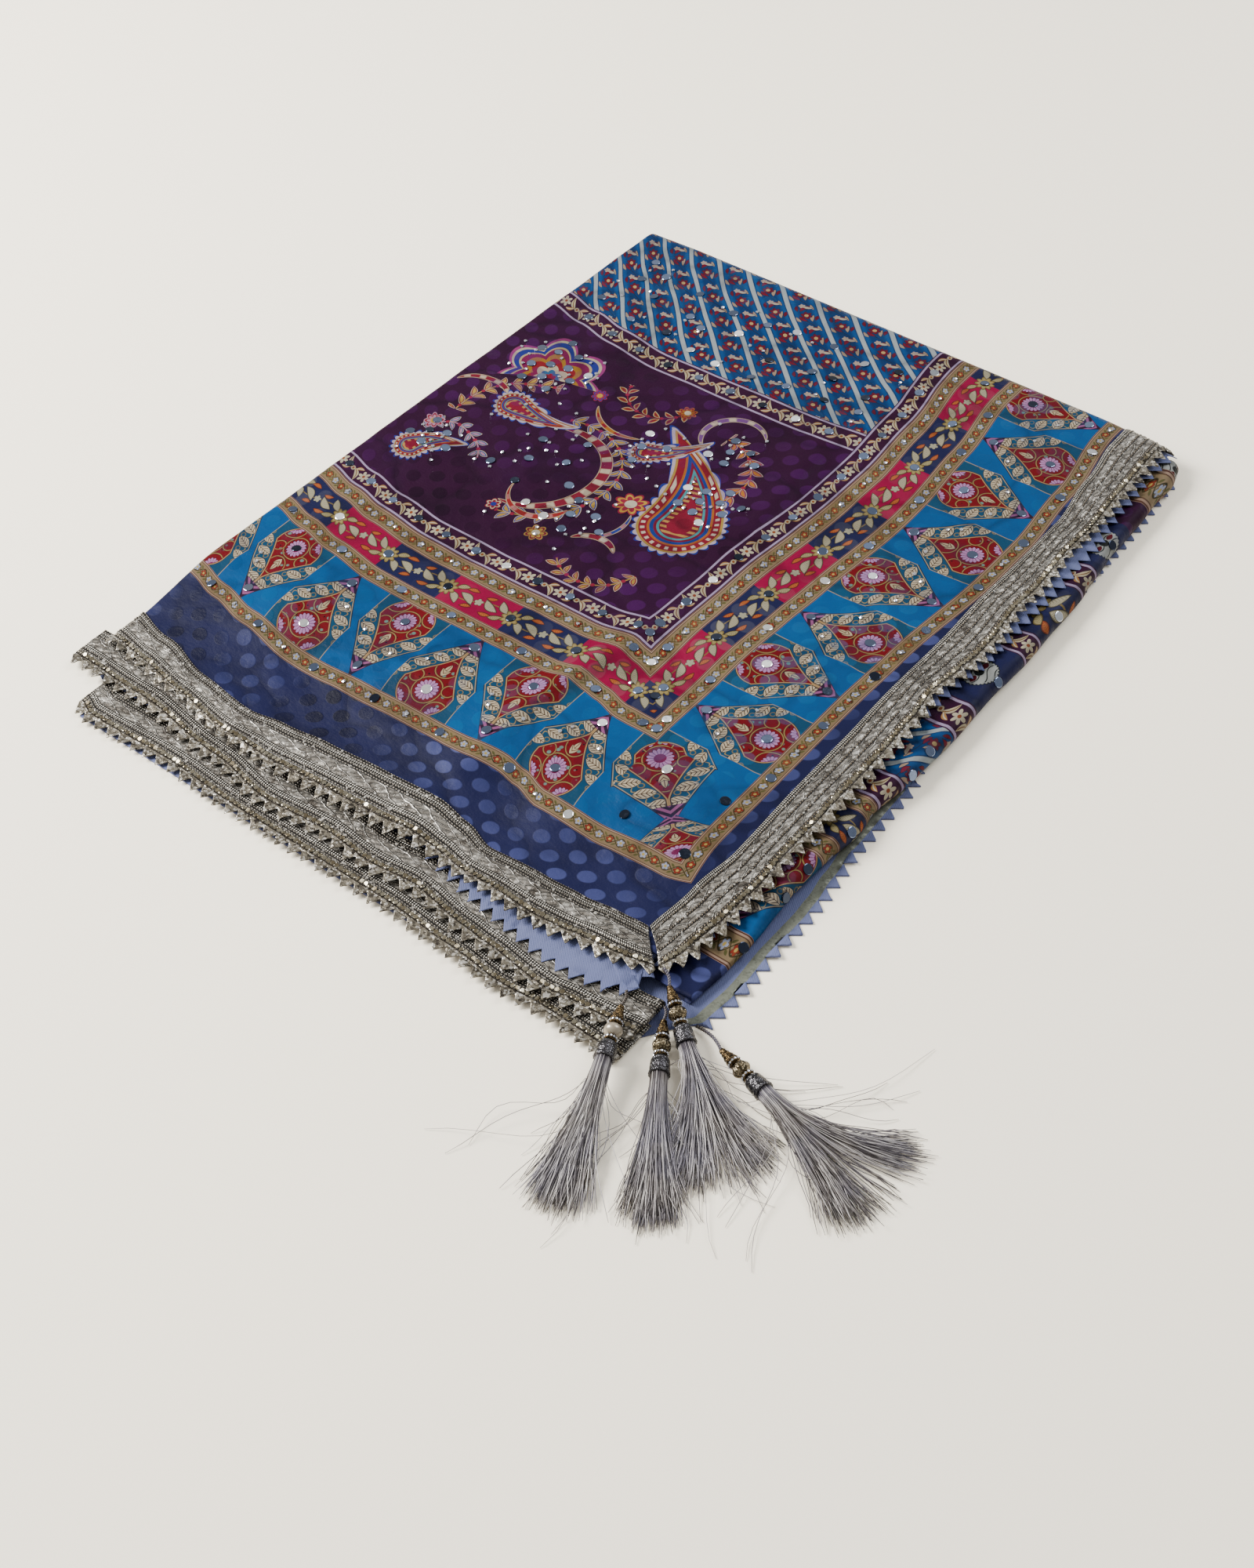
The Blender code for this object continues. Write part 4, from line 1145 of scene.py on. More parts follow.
def top_cloth():
    """The printed top layer, on a grid whose lines follow the printed bands."""
    bands = band_lines()
    inside = spread(GROUND, -LEFT_FOLD_X, 50)[1:]
    columns = [22.0, 28.0, 35.0] + bands + inside
    columns += [-LEFT_FOLD_X + turn * LEFT_FOLD_RADIUS for turn in spread(0, math.radians(150), 6)[1:]]
    rows = spread(22.0, END_START, 12)[:-1] + [end_line(band) for band in bands]
    rows += spread(END_GROUND, CROSS_BAND[0], 44)[1:] + spread(*CROSS_BAND, 5)[1:]
    rows += spread(CROSS_BAND[1], BACK_FOLD_Y, 20)[1:] + spread(BACK_FOLD_Y, BACK_FOLD_END + 4, 16)[1:]
    places = [[print_place(column, row) for column in columns] for row in rows]
    points = [on_top(x, y, 0.0) for line in places for x, y, _, _ in line]
    wide = len(columns)
    faces, slots, uvs = [], [], []
    first_band, last_band = 3, 3 + len(bands) - 1
    first_row = 12

    def add(corners, column, row):
        zone, on_side = face_zone(column, row)
        corner = None
        if zone == "medallion" and column < CORNER and row < end_line(CORNER):
            spots = [places[r][c] for c, r in corners]
            middle = corner_axes(sum(spot[2] for spot in spots) / len(spots),
                                 sum(spot[3] for spot in spots) / len(spots))
            corner = "outer" if middle[0] > 62 else "inner"
        faces.append([index[1] * wide + index[0] for index in corners])
        slots.append(ZONES.index(zone))
        for c, r in corners:
            _, _, s, t = places[r][c]
            if not corner and on_side is True and BAND_EDGES[0] <= columns[c] <= GROUND:
                s = columns[c]
            if not corner and on_side is False and END_START <= rows[r] <= END_GROUND:
                t = rows[r]
            u, v = pattern_at(zone, on_side, s, t, corner)
            uvs.append((u * MM, v * MM))

    for r in range(len(rows) - 1):
        for c in range(wide - 1):
            if first_band <= c < last_band and c - first_band == r - first_row:
                low, high = columns[c], columns[c + 1]
                near, far = rows[r], rows[r + 1]
                add(((c, r), (c + 1, r), (c + 1, r + 1)), (low + 2 * high) / 3, (2 * near + far) / 3)
                add(((c, r), (c + 1, r + 1), (c, r + 1)), (2 * low + high) / 3, (near + 2 * far) / 3)
            else:
                middle = ((columns[c] + columns[c + 1]) / 2, (rows[r] + rows[r + 1]) / 2)
                add(((c, r), (c + 1, r), (c + 1, r + 1), (c, r + 1)), *middle)
    materials = [finished(f"{zone}_satin") for zone in ZONES]
    piece = sheet_piece("top_cloth", points, faces, materials, slots, uvs, wall=0.7)
    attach(piece, "root")
    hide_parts("top_layer")
    return piece


# The roll's bands from front to back: where each ends, its zone and the stretch of pattern it shows.
RollBand = namedtuple("RollBand", "end zone low high")
ROLL_BANDS = (
    RollBand(34, "navy", 50, 81), RollBand(58, "ochre", -6.5, 6.5), RollBand(126, "medallion", 53, 118),
    RollBand(143, "ochre", -6.5, 6.5), RollBand(168, "blocks", 132, 156), RollBand(182, "ochre", -6.5, 6.5),
    RollBand(206, "vine", -9.5, 9.5), RollBand(256, "diagonal", 400, 450), RollBand(284, "vine", -9.5, 9.5),
    RollBand(338, "roundel", -27, 27), RollBand(360, "vine", -9.5, 9.5),
    RollBand(412, "blocks", 132, 156), RollBand(438, "vine", -9.5, 9.5),
    RollBand(486, "roundel", -24, 24), RollBand(512, "ground", 500, 526),
    RollBand(554, "ochre", -6.5, 6.5), RollBand(566, "roundel", -6, 6),
)
ROLL_OUTER = (
    (0, 20), (30, 22), (60, 22.5), (100, 20), (135, 21), (160, 24), (180, 21),
    (215, 25), (260, 26), (300, 24), (340, 25), (385, 23), (412, 22), (432, 19),
    (465, 15.5), (500, 14.5), (530, 12), (545, 12.5), (575, 6),
)
ROLL_SWELL = (
    (0, -0.6), (22, 0.7), (36, -0.7), (70, 0.8), (100, -0.5), (122, 0.4), (140, -0.9),
    (158, 0.8), (184, -0.6), (225, 0.9), (262, 0.2), (286, -0.8), (315, 0.8),
    (340, -0.4), (372, 0.6), (400, -0.7), (425, 0.5), (448, -0.8), (470, 0.7),
    (495, -0.6), (520, 0.6), (545, -0.6), (565, 0.2),
)
ROLL_DEPTH = 4.4
ROLL_FLOOR = 1.6
ROLL_STEPS = 18
ROLL_START = 4.0
ROLL_END = 564.0
ROLL_CELL = 3.2
ROLL_PATTERN_START = 215.0


def roll_line(y):
    """The roll at one place along: points across its top, round its outer face and in under it."""
    reach = read(ROLL_OUTER, y)
    top = stack_height(-30.0, y) * 0.5 + stack_height(min(0.0, reach - 16), y) * 0.5 - ROLL_DEPTH
    top += 0.5 * read(ROLL_SWELL, y)
    radius = (top - ROLL_FLOOR) / 2 + 0.5 * read(ROLL_SWELL, y)
    centre = reach - radius
    line = [(x, stack_height(min(x, 0.0), y) - ROLL_DEPTH - 0.8 * soft_step((x + 34) / 40))
            for x in spread(-34.0, centre, 7)[:-1]]
    line[-1] = (line[-1][0], min(line[-1][1], top + 0.2))
    middle = (top + ROLL_FLOOR) / 2
    height = (top - ROLL_FLOOR) / 2
    for turn in spread(0.0, math.pi, ROLL_STEPS):
        ripple = 0.35 * waver(y / 9, turn * 1.3, 1.7) * math.sin(turn)
        out = centre + (radius + ripple) * math.sin(turn)
        line.append((out, middle + (height + ripple) * math.cos(turn)))
    line.append((centre - 12.0, ROLL_FLOOR))
    return line


def rolled_cloth():
    """The third layer rolled under along the right side, with its bands of print."""
    rows, zones = [ROLL_START], []
    start = ROLL_START
    for band in ROLL_BANDS:
        cells = max(2, round((band.end - start) / ROLL_CELL))
        for step in range(cells):
            zones.append((band, step / cells, (step + 1) / cells))
        rows += spread(start, min(band.end, ROLL_END), cells)[1:]
        start = band.end
    lines = [roll_line(y) for y in rows]
    wide = len(lines[0])
    points = [place(x, y, z) for y, line in zip(rows, lines) for x, z in line]
    names = list(ZONES) + ["roundel"]
    slots, uvs = [], []
    faces = grid_faces(len(rows), wide)
    for index, face in enumerate(faces):
        row = index // (wide - 1)
        band, low, high = zones[row]
        slots.append(names.index(band.zone))
        for corner in face:
            r, c = divmod(corner, wide)
            share = low if r == row else high
            run = sum(math.dist(lines[r][k], lines[r][k + 1]) for k in range(c))
            u = band.low + (band.high - band.low) * share
            uvs.append((u * MM, (run + ROLL_PATTERN_START) * MM))
    materials = [finished(f"{zone}_satin") for zone in names]
    piece = sheet_piece("rolled_cloth", points, faces, materials, slots, uvs, wall=0.7)
    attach(piece, "root")
    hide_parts("rolled_layer")
    return piece


SECOND_FRONT_TIPS = (
    (-215, 6.0), (-189, 2.0), (-170, -6.0), (-150, -11.0), (-119, -18.0), (-92, -22.0),
    (-66, -25.0), (-46, -26.0), (-27, -23.0), (-13, -18.0), (0, -14.0),
)
SECOND_SIDE_TIPS = (
    (-14, -7.0), (20, -2.0), (60, 7.0), (112, 6.0), (220, 6.0), (285, 8.0), (327, 12.0),
    (406, 12.0), (443, 11.0), (498, 5.0), (540, 2.5), (581, 4.0),
)
SECOND_DEPTH = 2.0
TOOTH_PITCH = 10.5
TOOTH_HEIGHT = 7.0
TOOTH_STEPS = 6
SECOND_DROOP = 0.8
SECOND_FRONT_TEETH = 20
SECOND_SIDE_TEETH = 55


def second_cloth():
    """The lavender reverse of the second layer, with its own pinked edges at the front and right."""
    strips = Strips()

    def under(x, y, extra=0.0):
        if y > BACK_FOLD_Y:
            return on_top(x, y, -SECOND_DEPTH - 0.4)
        wave = 0.8 * waver(x / 15, y / 17, 12.0) - 0.3
        return place(x, y, stack_height(x, y) - SECOND_DEPTH - extra + min(0.3, wave))

    front = [(x, read(SECOND_FRONT_TIPS, x)) for x in spread(-210.0, -7.0, SECOND_FRONT_TEETH * TOOTH_STEPS)]
    rows = []
    for inward in (1.0, 0.72, 0.45, 0.2, 0.0):
        rows.append([under(x - inward * 20 * (x > -40) * (x + 40) / 40, y + TOOTH_HEIGHT + inward * 40)
                     for x, y in front])
    strips.add(rows)
    for tooth, base, (middle, _) in tooth_bases(front, TOOTH_STEPS):
        droop = SECOND_DROOP * waver(tooth * 1.7, 0.3, 0.9)
        strips.add([[under(middle + (x - middle) * share, y + TOOTH_HEIGHT * share, droop * (1 - share))
                     for x, y in base] for share in (1.0, 0.66, 0.33, 0.06)])
    side = [(read(SECOND_SIDE_TIPS, y), y) for y in spread(-14.0, 576.0, SECOND_SIDE_TEETH * TOOTH_STEPS)]
    rows = []
    for inward in (0.0, 0.2, 0.45, 0.72, 1.0):
        rows.append([under(x - TOOTH_HEIGHT - inward * 36, y + inward * 25 * max(0.0, 1 - (y + 14) / 60))
                     for x, y in side])
    strips.add([line[::-1] for line in rows])
    for tooth, base, (_, middle) in tooth_bases(side, TOOTH_STEPS):
        droop = SECOND_DROOP * waver(tooth * 1.3, 4.3, 0.9)
        strips.add([[under(x - TOOTH_HEIGHT * share, middle + (y - middle) * share, droop * (1 - share))
                     for x, y in base][::-1] for share in (0.06, 0.33, 0.66, 1.0)])
    piece = sheet_piece("second_cloth", strips.points, strips.faces, [finished("lavender_reverse")], wall=0.5)
    weld(piece)
    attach(piece, "root")
    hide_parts("second_layer")
    return piece


def weld(piece, distance=0.02 * MM):
    """Joins points that lie on one another."""
    shown_alone(piece)
    open_all()
    bpy.ops.mesh.remove_doubles(threshold=distance)
    bpy.ops.object.mode_set(mode="OBJECT")


BOTTOM_TIPS = (
    (-9, 33.0), (0, 39.0), (27, 41.0), (61, 39.0), (91, 39.0), (105, 38.0), (127, 35.0),
    (153, 32.0), (205, 30.0), (238, 21.0), (300, 20.0), (385, 19.0), (440, 18.0),
    (480, 17.0), (560, 12.0),
)
BOTTOM_TOP = 1.2
BOTTOM_START = -7.0
BOTTOM_FRONT = -45.0
BOTTOM_CORNER = 26.0
BOTTOM_TEETH = 54
BOTTOM_LEFT = -450.0
BOTTOM_BACK = 560.0


def bottom_cloth():
    """The lowest layer, reverse up, with the back of its lace and its pinked edge at the right."""
    strips = Strips()

    def lifted(x, y):
        wave = waver(x / 30, y / 24, 7.0)
        return place(x, y, BOTTOM_TOP + 0.25 * max(0.0, wave))

    side = [(read(BOTTOM_TIPS, y), y) for y in spread(BOTTOM_START, BOTTOM_BACK, BOTTOM_TEETH * TOOTH_STEPS)]
    rows = []
    for inward in (0.0, 3.0, 6.0, 12.0, 22.0):
        rows.append([lifted(x - TOOTH_HEIGHT - inward, y) for x, y in side][::-1])
    rows += [[lifted(x, y) for _, y in side][::-1] for x in (0.0, -80.0, -200.0, -330.0, BOTTOM_LEFT)]
    strips.add(rows, (1, 1, 0, 0, 0, 0, 0, 0, 0))
    for _, base, (_, middle) in tooth_bases(side, TOOTH_STEPS):
        strips.add([[lifted(x - TOOTH_HEIGHT * share, middle + (y - middle) * share) for x, y in base][::-1]
                    for share in (0.06, 0.35, 0.68, 1.0)])
    front = [[lifted(x, BOTTOM_START) for x in (BOTTOM_LEFT, -200.0, 0.0, BOTTOM_CORNER)]]
    for share in spread(0.0, 1.0, 4)[1:]:
        edge = BOTTOM_CORNER * (1 - share)
        left = BOTTOM_LEFT + 30.0 * min(1.0, 3 * share)
        y = BOTTOM_START + (BOTTOM_FRONT - BOTTOM_START) * share
        front.append([lifted(x, y) for x in (left, -200.0, min(0.0, edge), edge)])
    strips.add(front[::-1])
    materials = [finished("lavender_reverse"), finished("lace_back")]
    piece = sheet_piece("bottom_cloth", strips.points, strips.faces, materials, strips.slots, wall=1.2)
    weld(piece)
    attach(piece, "root")
    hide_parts("bottom_layer")
    return piece


# The gota lace

LaceRow = namedtuple("LaceRow", "low high kind")
LACE_WIDTH = 35.0
LACE_CELL = 0.85
LACE_TOOTH_STEPS = 8
LACE_DROOP = 1.1
LACE_LEAN = 1.4
END_ROWS = (
    LaceRow(0.0, 9.5, "foil"), LaceRow(9.5, 12.5, "sequins"), LaceRow(12.5, 16.0, "braid"),
    LaceRow(16.0, 19.0, "silver"), LaceRow(19.0, 26.5, "crinkle"), LaceRow(26.5, 30.0, "braid"),
    LaceRow(30.0, 32.0, "silver"), LaceRow(32.0, 35.0, "braid"),
)
SIDE_ROWS = (
    LaceRow(0.0, 9.5, "foil"), LaceRow(9.5, 12.0, "sequins"), LaceRow(12.0, 14.0, "cord"),
    LaceRow(14.0, 18.0, "crinkle"), LaceRow(18.0, 19.6, "cord"), LaceRow(19.6, 24.0, "crinkle"),
    LaceRow(24.0, 25.6, "cord"), LaceRow(25.6, 30.0, "crinkle"), LaceRow(30.0, 31.6, "cord"),
    LaceRow(31.6, 35.0, "silver"),
)
LACE_KINDS = ("foil", "sequins", "braid", "silver", "crinkle", "cord")


def lace_relief(kind, share, along, across):
    """How far the lace stands proud at a place, in millimetres, where share runs across its row."""
    arch = math.sin(math.pi * share)
    if kind in ("braid", "cord"):
        cords = 2 if kind == "braid" else 1
        return 0.25 + 0.75 * abs(math.sin(math.pi * cords * share)) ** 0.7
    if kind == "silver":
        return 0.25 + 0.25 * arch
    if kind == "crinkle":
        fold = waver(along / 2.6 + across / 3.0, across / 5.0, 2.0)
        return 0.25 + arch * (0.45 + 0.65 * fold)
    if kind == "sequins":
        return 0.15
    crush = noise.cell(Vector((along / 1.9 + across / 5.0, across / 2.3, 5.0)))
    return 0.1 + 0.55 * crush + 0.3 * waver(along / 1.4, across / 1.4, 8.0)


def lace_teeth(strips, spots, runs, spot, seed):
    """Adds the pinked edge of a strip of lace, each tooth drooping and leaning its own way."""
    for tooth, base, middle in tooth_bases(runs, LACE_TOOTH_STEPS):
        droop = LACE_DROOP * waver(tooth * 1.9 + seed, 0.5, 0.2)
        lean = LACE_LEAN * waver(tooth * 2.3 + seed, 3.5, 0.2)
        lines = []
        for share in (0.04, 0.22, 0.42, 0.62, 0.82, 1.0):
            across = TOOTH_HEIGHT * share
            places = [middle + (run - middle) * share + lean * (1 - share) for run in base]
            heights = [lace_relief("foil", share, at + seed, across) - droop * (1 - share) for at in places]
            lines.append([spot(at, across, height) for at, height in zip(places, heights)])
            spots += [(at * MM, across * MM) for at in places]
        strips.add(lines)


def lace_piece(name, node, rows, start, end, spot, seed):
    """A strip of lace. spot gives a point from the run along, the distance in and the height."""
    steps = round(abs(end - start) / TOOTH_PITCH) * LACE_TOOTH_STEPS
    runs = spread(start, end, steps)
    inward, kinds = [TOOTH_HEIGHT], []
    for row in rows:
        low = max(row.low, TOOTH_HEIGHT)
        cells = max(2, round((row.high - low) / LACE_CELL))
        inward += spread(low, row.high, cells)[1:]
        kinds += [row] * cells
    strips, lines, spots = Strips(), [], []
    for level, across in enumerate(inward):
        row = kinds[min(level, len(kinds) - 1)]
        share = (across - row.low) / (row.high - row.low)
        line = []
        for run in runs:
            height = 0.0 if across >= LACE_WIDTH else lace_relief(row.kind, share, run + seed, across)
            line.append(spot(run, across, height))
            spots.append((run * MM, across * MM))
        lines.append(line)
    strips.add(lines, [LACE_KINDS.index(row.kind) for row in kinds])
    lace_teeth(strips, spots, runs, spot, seed)
    materials = [finished(f"lace_{kind}") for kind in LACE_KINDS]
    uvs = [spots[corner] for face in strips.faces for corner in face]
    piece = sheet_piece(name, strips.points, strips.faces, materials, strips.slots, uvs, wall=0.5)
    weld(piece)
    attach(piece, "root")
    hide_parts(node)
    return piece


def lean_in(distance, across):
    """How far a column of lace slides along its edge near the mitred corner."""
    return across * max(0.0, 1 - distance / 110.0)


def top_end_spot(run, across, height):
    """A point of the lace on the front end of the top layer. run is measured left from the corner."""
    share = across / LACE_WIDTH
    x = -(run + lean_in(run, across) * 0.80)
    y = read(END_TIPS, x) * (1 - share) + read(END_INNER, x) * share
    lift = 0.7 + height
    if x < LEFT_FOLD_X:
        return on_top(x, y, lift)
    return place(x, y, stack_height(x, y) + lift)


def top_side_spot(run, across, height):
    """A point of the lace on the right side of the top layer. run is measured back from the corner."""
    share = across / LACE_WIDTH
    y = run + lean_in(run, across) * 0.80
    x = read(SIDE_TIPS, y) * (1 - share) + read(SIDE_INNER, y) * share
    dip = 0.8 * waver(y / 26.0, x / 60.0, 6.0) * (1 - share)
    point = on_top(x, y, 0.7 + height + dip * soft_step((BACK_FOLD_Y - 10 - y) / 20))
    point.z = max(0.0, point.z)
    return point


THIRD_TIPS = (
    (-463, -18.0), (-400, -21.0), (-325, -29.0), (-274, -37.0), (-226, -34.0),
    (-190, -37.0), (-158, -34.0), (-113, -40.0), (-96, -41.5), (-50, -46.0), (-32, -43.5),
    (-7, -41.5), (20, -40.0),
)
THIRD_TOP = (
    (-463, 4.0), (-425, 5.2), (-400, 6.2), (-310, 5.4), (-190, 6.2), (-100, 5.5),
    (0, 5.3),
)
THIRD_CURL_X = 8.0
THIRD_CURL_TOP = 6.9
THIRD_CURL_RADIUS = 1.7
FOURTH_TIPS = (
    (-428, -45.0), (-413, -50.0), (-345, -48.0), (-288, -51.0), (-166, -51.0),
    (-112, -54.0), (-75, -57.0), (-44, -55.0), (12, -56.0),
)
FOURTH_TOP = 3.3


def third_spot(run, across, height):
    """A point of the lace on the third layer's end, whose right end curls down."""
    x = THIRD_CURL_X - run
    y = read(THIRD_TIPS, x) + across
    top = read(THIRD_TOP, x)
    top += (THIRD_CURL_TOP - top) * soft_step((x + 4.0) / 12.0)
    top += 0.5 * waver(x / 22.0, y / 30.0, 2.0)
    if run < 0:
        turn = min(math.pi, -run / THIRD_CURL_RADIUS)
        reach = THIRD_CURL_RADIUS + height * 0.6
        middle = top - THIRD_CURL_RADIUS
        return place(THIRD_CURL_X + reach * math.sin(turn), y, middle + reach * math.cos(turn))
    return place(x, y, top + height * 0.6)


def fourth_spot(run, across, height):
    """A point of the lowest lace at the front."""
    x = 12.0 - run
    y = read(FOURTH_TIPS, x) + across
    return place(x, y, FOURTH_TOP + height * 0.5)


def lace_started(kind, base, metallic):
    """A finish of the lace in the making, with its ground and its coordinates along and across."""
    finish = Finish(f"lace_{kind}", Metallic=metallic)
    r, a = finish.pattern()
    return finish, Paint(finish.tree, linear(base), METAL_TONE), r, a


def lace_ended(finish, paint, relief, depth, rough):
    """Wear, small painted highlights that sparkle, and relief, which all the finishes of the lace have."""
    worn = finish.grain(35.0, 3.0)
    paint.over((0.50 - worn).ramp(3.0), "241a12", 0.50)
    # Tiny near-white specks: painted highlights, for the metal catching the lamps.
    painted_glints = finish.cells(720.0, "Color")
    paint.over((painted_glints - 0.80).ramp(9.0), "fffaf0", 0.90)
    finish.colour(paint)
    finish.uneven(500.0, 0.35, rough)
    finish.bump(relief + finish.grain(900.0, 2.0) * 0.5, depth)


def lace_chain(kind, pitch, start, wide, link_colour, painted_highlight_colour):
    """Chains of metal thread, for the braid and for the single cords: a near-black ground painted as the
    shade between the links, and a painted highlight on the top of each link.
    """
    finish, paint, r, a = lace_started(kind, "0c0805", 0.4)
    across = a.tile(pitch, start)
    along = (r + abs(across) * 1.1).tile(2.2)
    link = 1 - (along * 1.15).squared() - (across * (1 / wide)).squared()
    paint.fill(link - 0.05, link_colour, 0.4)
    # The middle of each link painted lighter: a painted highlight.
    paint.fill(link - 0.50, painted_highlight_colour, 0.4)
    lace_ended(finish, paint, link.high(0.0) * 2.0, 0.5, 0.22)


def lace_silver():
    """The knotted silver rows, painted dark between the knots as painted shade and bright on each knot as a
    painted highlight.
    """
    finish, paint, r, a = lace_started("silver", "ded8cc", 0.7)
    knots = (r.tile(1.6) * 1.5).squared() + (a.tile(1.5) * 1.5).squared()
    paint.fill(knots - 0.75, "1e160e", 0.5)
    paint.fill(0.30 - knots, "f4efe2")
    lace_ended(finish, paint, 0 - knots, 0.4, 0.2)


def lace_sequin_ground():
    """The dark row that carries the sequins."""
    finish, paint, r, a = lace_started("sequins", "2e2418", 0.5)
    knots = (r.tile(2.0) * 1.1).squared() + (a.tile(1.9, 10.9) * 1.1).squared()
    paint.fill(0.8 - knots, "b9b09c", 0.5)
    lace_ended(finish, paint, 0 - knots, 0.4, 0.2)


def lace_crinkle():
    """Crinkled ribbon of flat metal wire: its crossing ridges painted with a bright core as a painted
    highlight between dark bands of painted shade, and patches painted near white and dark as painted sheen
    and painted shade.
    """
    finish, paint, r, a = lace_started("crinkle", "b4ada2", 0.7)
    sway = finish.grain(60.0, 2.0) * 7.0
    crinkle_ridges = abs((a * 1.0 + r * 0.42 + sway).tile(3.4)).low(abs((a * 0.9 - r * 0.30 - sway).tile(5.2)))
    paint.fill(0.62 - crinkle_ridges, "1c140e", 0.4)
    paint.fill(0.20 - crinkle_ridges, "fffaf0", 0.2)
    patches = finish.grain(150.0, 3.0, (1, 1, 1), 0.7)
    paint.over((patches - 0.53).ramp(8.0), "fffaf0", 0.85)
    paint.over((0.47 - patches).ramp(8.0), "4a4036", 0.8)
    lace_ended(finish, paint, (0.5 - crinkle_ridges).high(0.0) * 3.0 + patches * 3.0, 0.35, 0.2)


def lace_foil():
    """Crushed foil, on the pinked edge: cells of it painted dark and near white, as painted shade and painted
    reflections of its facets.
    """
    finish, paint, _, a = lace_started("foil", "a39a88", 0.7)
    cells = finish.cells(620.0, "Color")
    paint.over((cells - 0.52).ramp(3.0), "2a2018", 0.9)
    paint.over((0.34 - cells).ramp(6.0), "fffaf0", 0.9)
    paint.fill(0.45 - abs(a - 9.1), "2a2016")
    lace_ended(finish, paint, cells * 1.6 + finish.grain(300.0, 3.0) * 1.6, 0.45, 0.18)


def lace_back():
    """The dull back of the lace, on the lowest layer."""
    finish = Finish("lace_back", Metallic=0.35)
    paint = Paint(finish.tree, linear("8f9484"), METAL_TONE)
    cells = finish.cells(800.0, "Color")
    paint.over((cells - 0.5).ramp(2.0), "5d6052", 0.7)
    finish.colour(paint)
    finish.rough(cells.math("MULTIPLY_ADD", 0.2, 0.45))
    finish.bump(cells, 0.4)


# Mirrors and stones


def disc_pattern(segments, radius, fill, rises, rim):
    """A thin disc with a soft edge, modelled on the ground: its rim is drawn in after the last rise."""
    bpy.ops.object.select_all(action="DESELECT")
    bpy.ops.mesh.primitive_circle_add(vertices=segments, radius=radius, fill_type=fill)
    open_all()
    for rise in rises:
        bpy.ops.mesh.extrude_region_move(TRANSFORM_OT_translate={"value": (0, 0, rise)})
    bpy.ops.transform.resize(value=(rim, rim, 1.0))
    close_outward()
    return bpy.context.object


def stone_pattern(radius):
    """One small faceted stone."""
    bpy.ops.object.select_all(action="DESELECT")
    bpy.ops.mesh.primitive_ico_sphere_add(subdivisions=1, radius=radius)
    open_all()
    bpy.ops.transform.resize(value=(1.0, 1.0, 0.62))
    bpy.ops.object.mode_set(mode="OBJECT")
    return bpy.context.object


MIRROR_GAP = 8.0
STONE_GAP = 4.5
MIRROR_CLUSTERS = (
    (232, 350, 24, 10), (250, 405, 20, 6), (345, 318, 42, 8), (412, 402, 30, 12), (288, 290, 24, 6),
    (425, 290, 20, 6), (300, 375, 20, 4),
)
CORNER_MIRRORS = (
    (99, 145), (57, 143), (99, 104), (53.5, 98), (179, 224), (164, 209), (143, 190), (124.5, 168),
)


def shows(x, y):
    """Whether a place is on the print that shows, clear of the lace and the folds."""
    clear_of_folds = LEFT_FOLD_X + 5 < x and y < BACK_FOLD_Y - 3
    return clear_of_folds and x < read(SIDE_INNER, y) - 4 and y > read(END_INNER, x) + 4


def set_apart(spots, gap, others=()):
    """Leaves out the spots that don't show or lie too near to one before them, or to others."""
    chosen = []
    for spot in spots:
        if shows(*spot) and all(math.dist(spot, before) > gap for before in chosen):
            chosen.append(spot)
    return [spot for spot in chosen if all(math.dist(spot, other) > gap for other in others)]


def mirror_spots():
    """Where the mirrors and the stones are: the hearts and tips of the print's motifs."""
    mirrors, stones = [], []
    for end in (False, True):
        for step in range(-1, 8):
            inward = step % 2 == 0
            run = SIDE_PHASE + step * REPEAT
            heart, tip, bead = (104, 61, 78) if inward else (67, 110, 93)
            large = [(47, -27), (124.5, 5 * (step % 3) - 31), (143.5, 0), (179.5, 9), (179.5, 36)]
            small = [(163, -12), (163, 15), (47, 0)]
            if step >= 0 or not inward:
                large = [(heart, 0), (tip, 0)] + large
                beside = (heart + tip) / 2 + (3 if inward else -3)
                small = [(bead, 13), (bead, -13), (beside, 17)] + small
            mirrors += [band_place(band, run + ahead, end) for band, ahead in large]
            stones += [band_place(band, run + ahead, end) for band, ahead in small]
    for s, t in CORNER_MIRRORS:
        mirrors.append(from_print(s, t))
    for s in spread(212, 432, 8):
        mirrors.append(from_print(s, 461))
    chance = random.Random(11)
    for centre_s, centre_t, radius, count in MIRROR_CLUSTERS:
        for index in range(count):
            turn = 2.4 * index
            reach = radius * math.sqrt((index + 0.4) / count)
            mirrors.append(from_print(centre_s + reach * math.cos(turn), centre_t + reach * math.sin(turn)))
            for _ in range(3):
                s = centre_s + chance.gauss(0, radius * 0.6)
                t = centre_t + chance.gauss(0, radius * 0.6)
                if s > 196 and END_GROUND + 4 < t < CROSS_BAND[0] - 4:
                    stones.append(from_print(s, t))
    for s in spread(205, 430, 8):
        for t in (488, 515, 542):
            mirrors.append(from_print(s + chance.uniform(-9, 9), t + chance.uniform(-7, 7)))
            stones.append(from_print(s + chance.uniform(-12, 12), t + chance.uniform(-10, 10)))
    mirrors = set_apart(mirrors, MIRROR_GAP)
    return mirrors, set_apart(stones, STONE_GAP, mirrors)


# Mirrors on the roll: how far back each is and its turn from the top, in degrees.
ROLL_MIRRORS = (
    (92, 64), (115, 44), (154, 50), (214, 60), (235, 36), (311, 52), (385, 46), (465, 44), (50, 40),
)


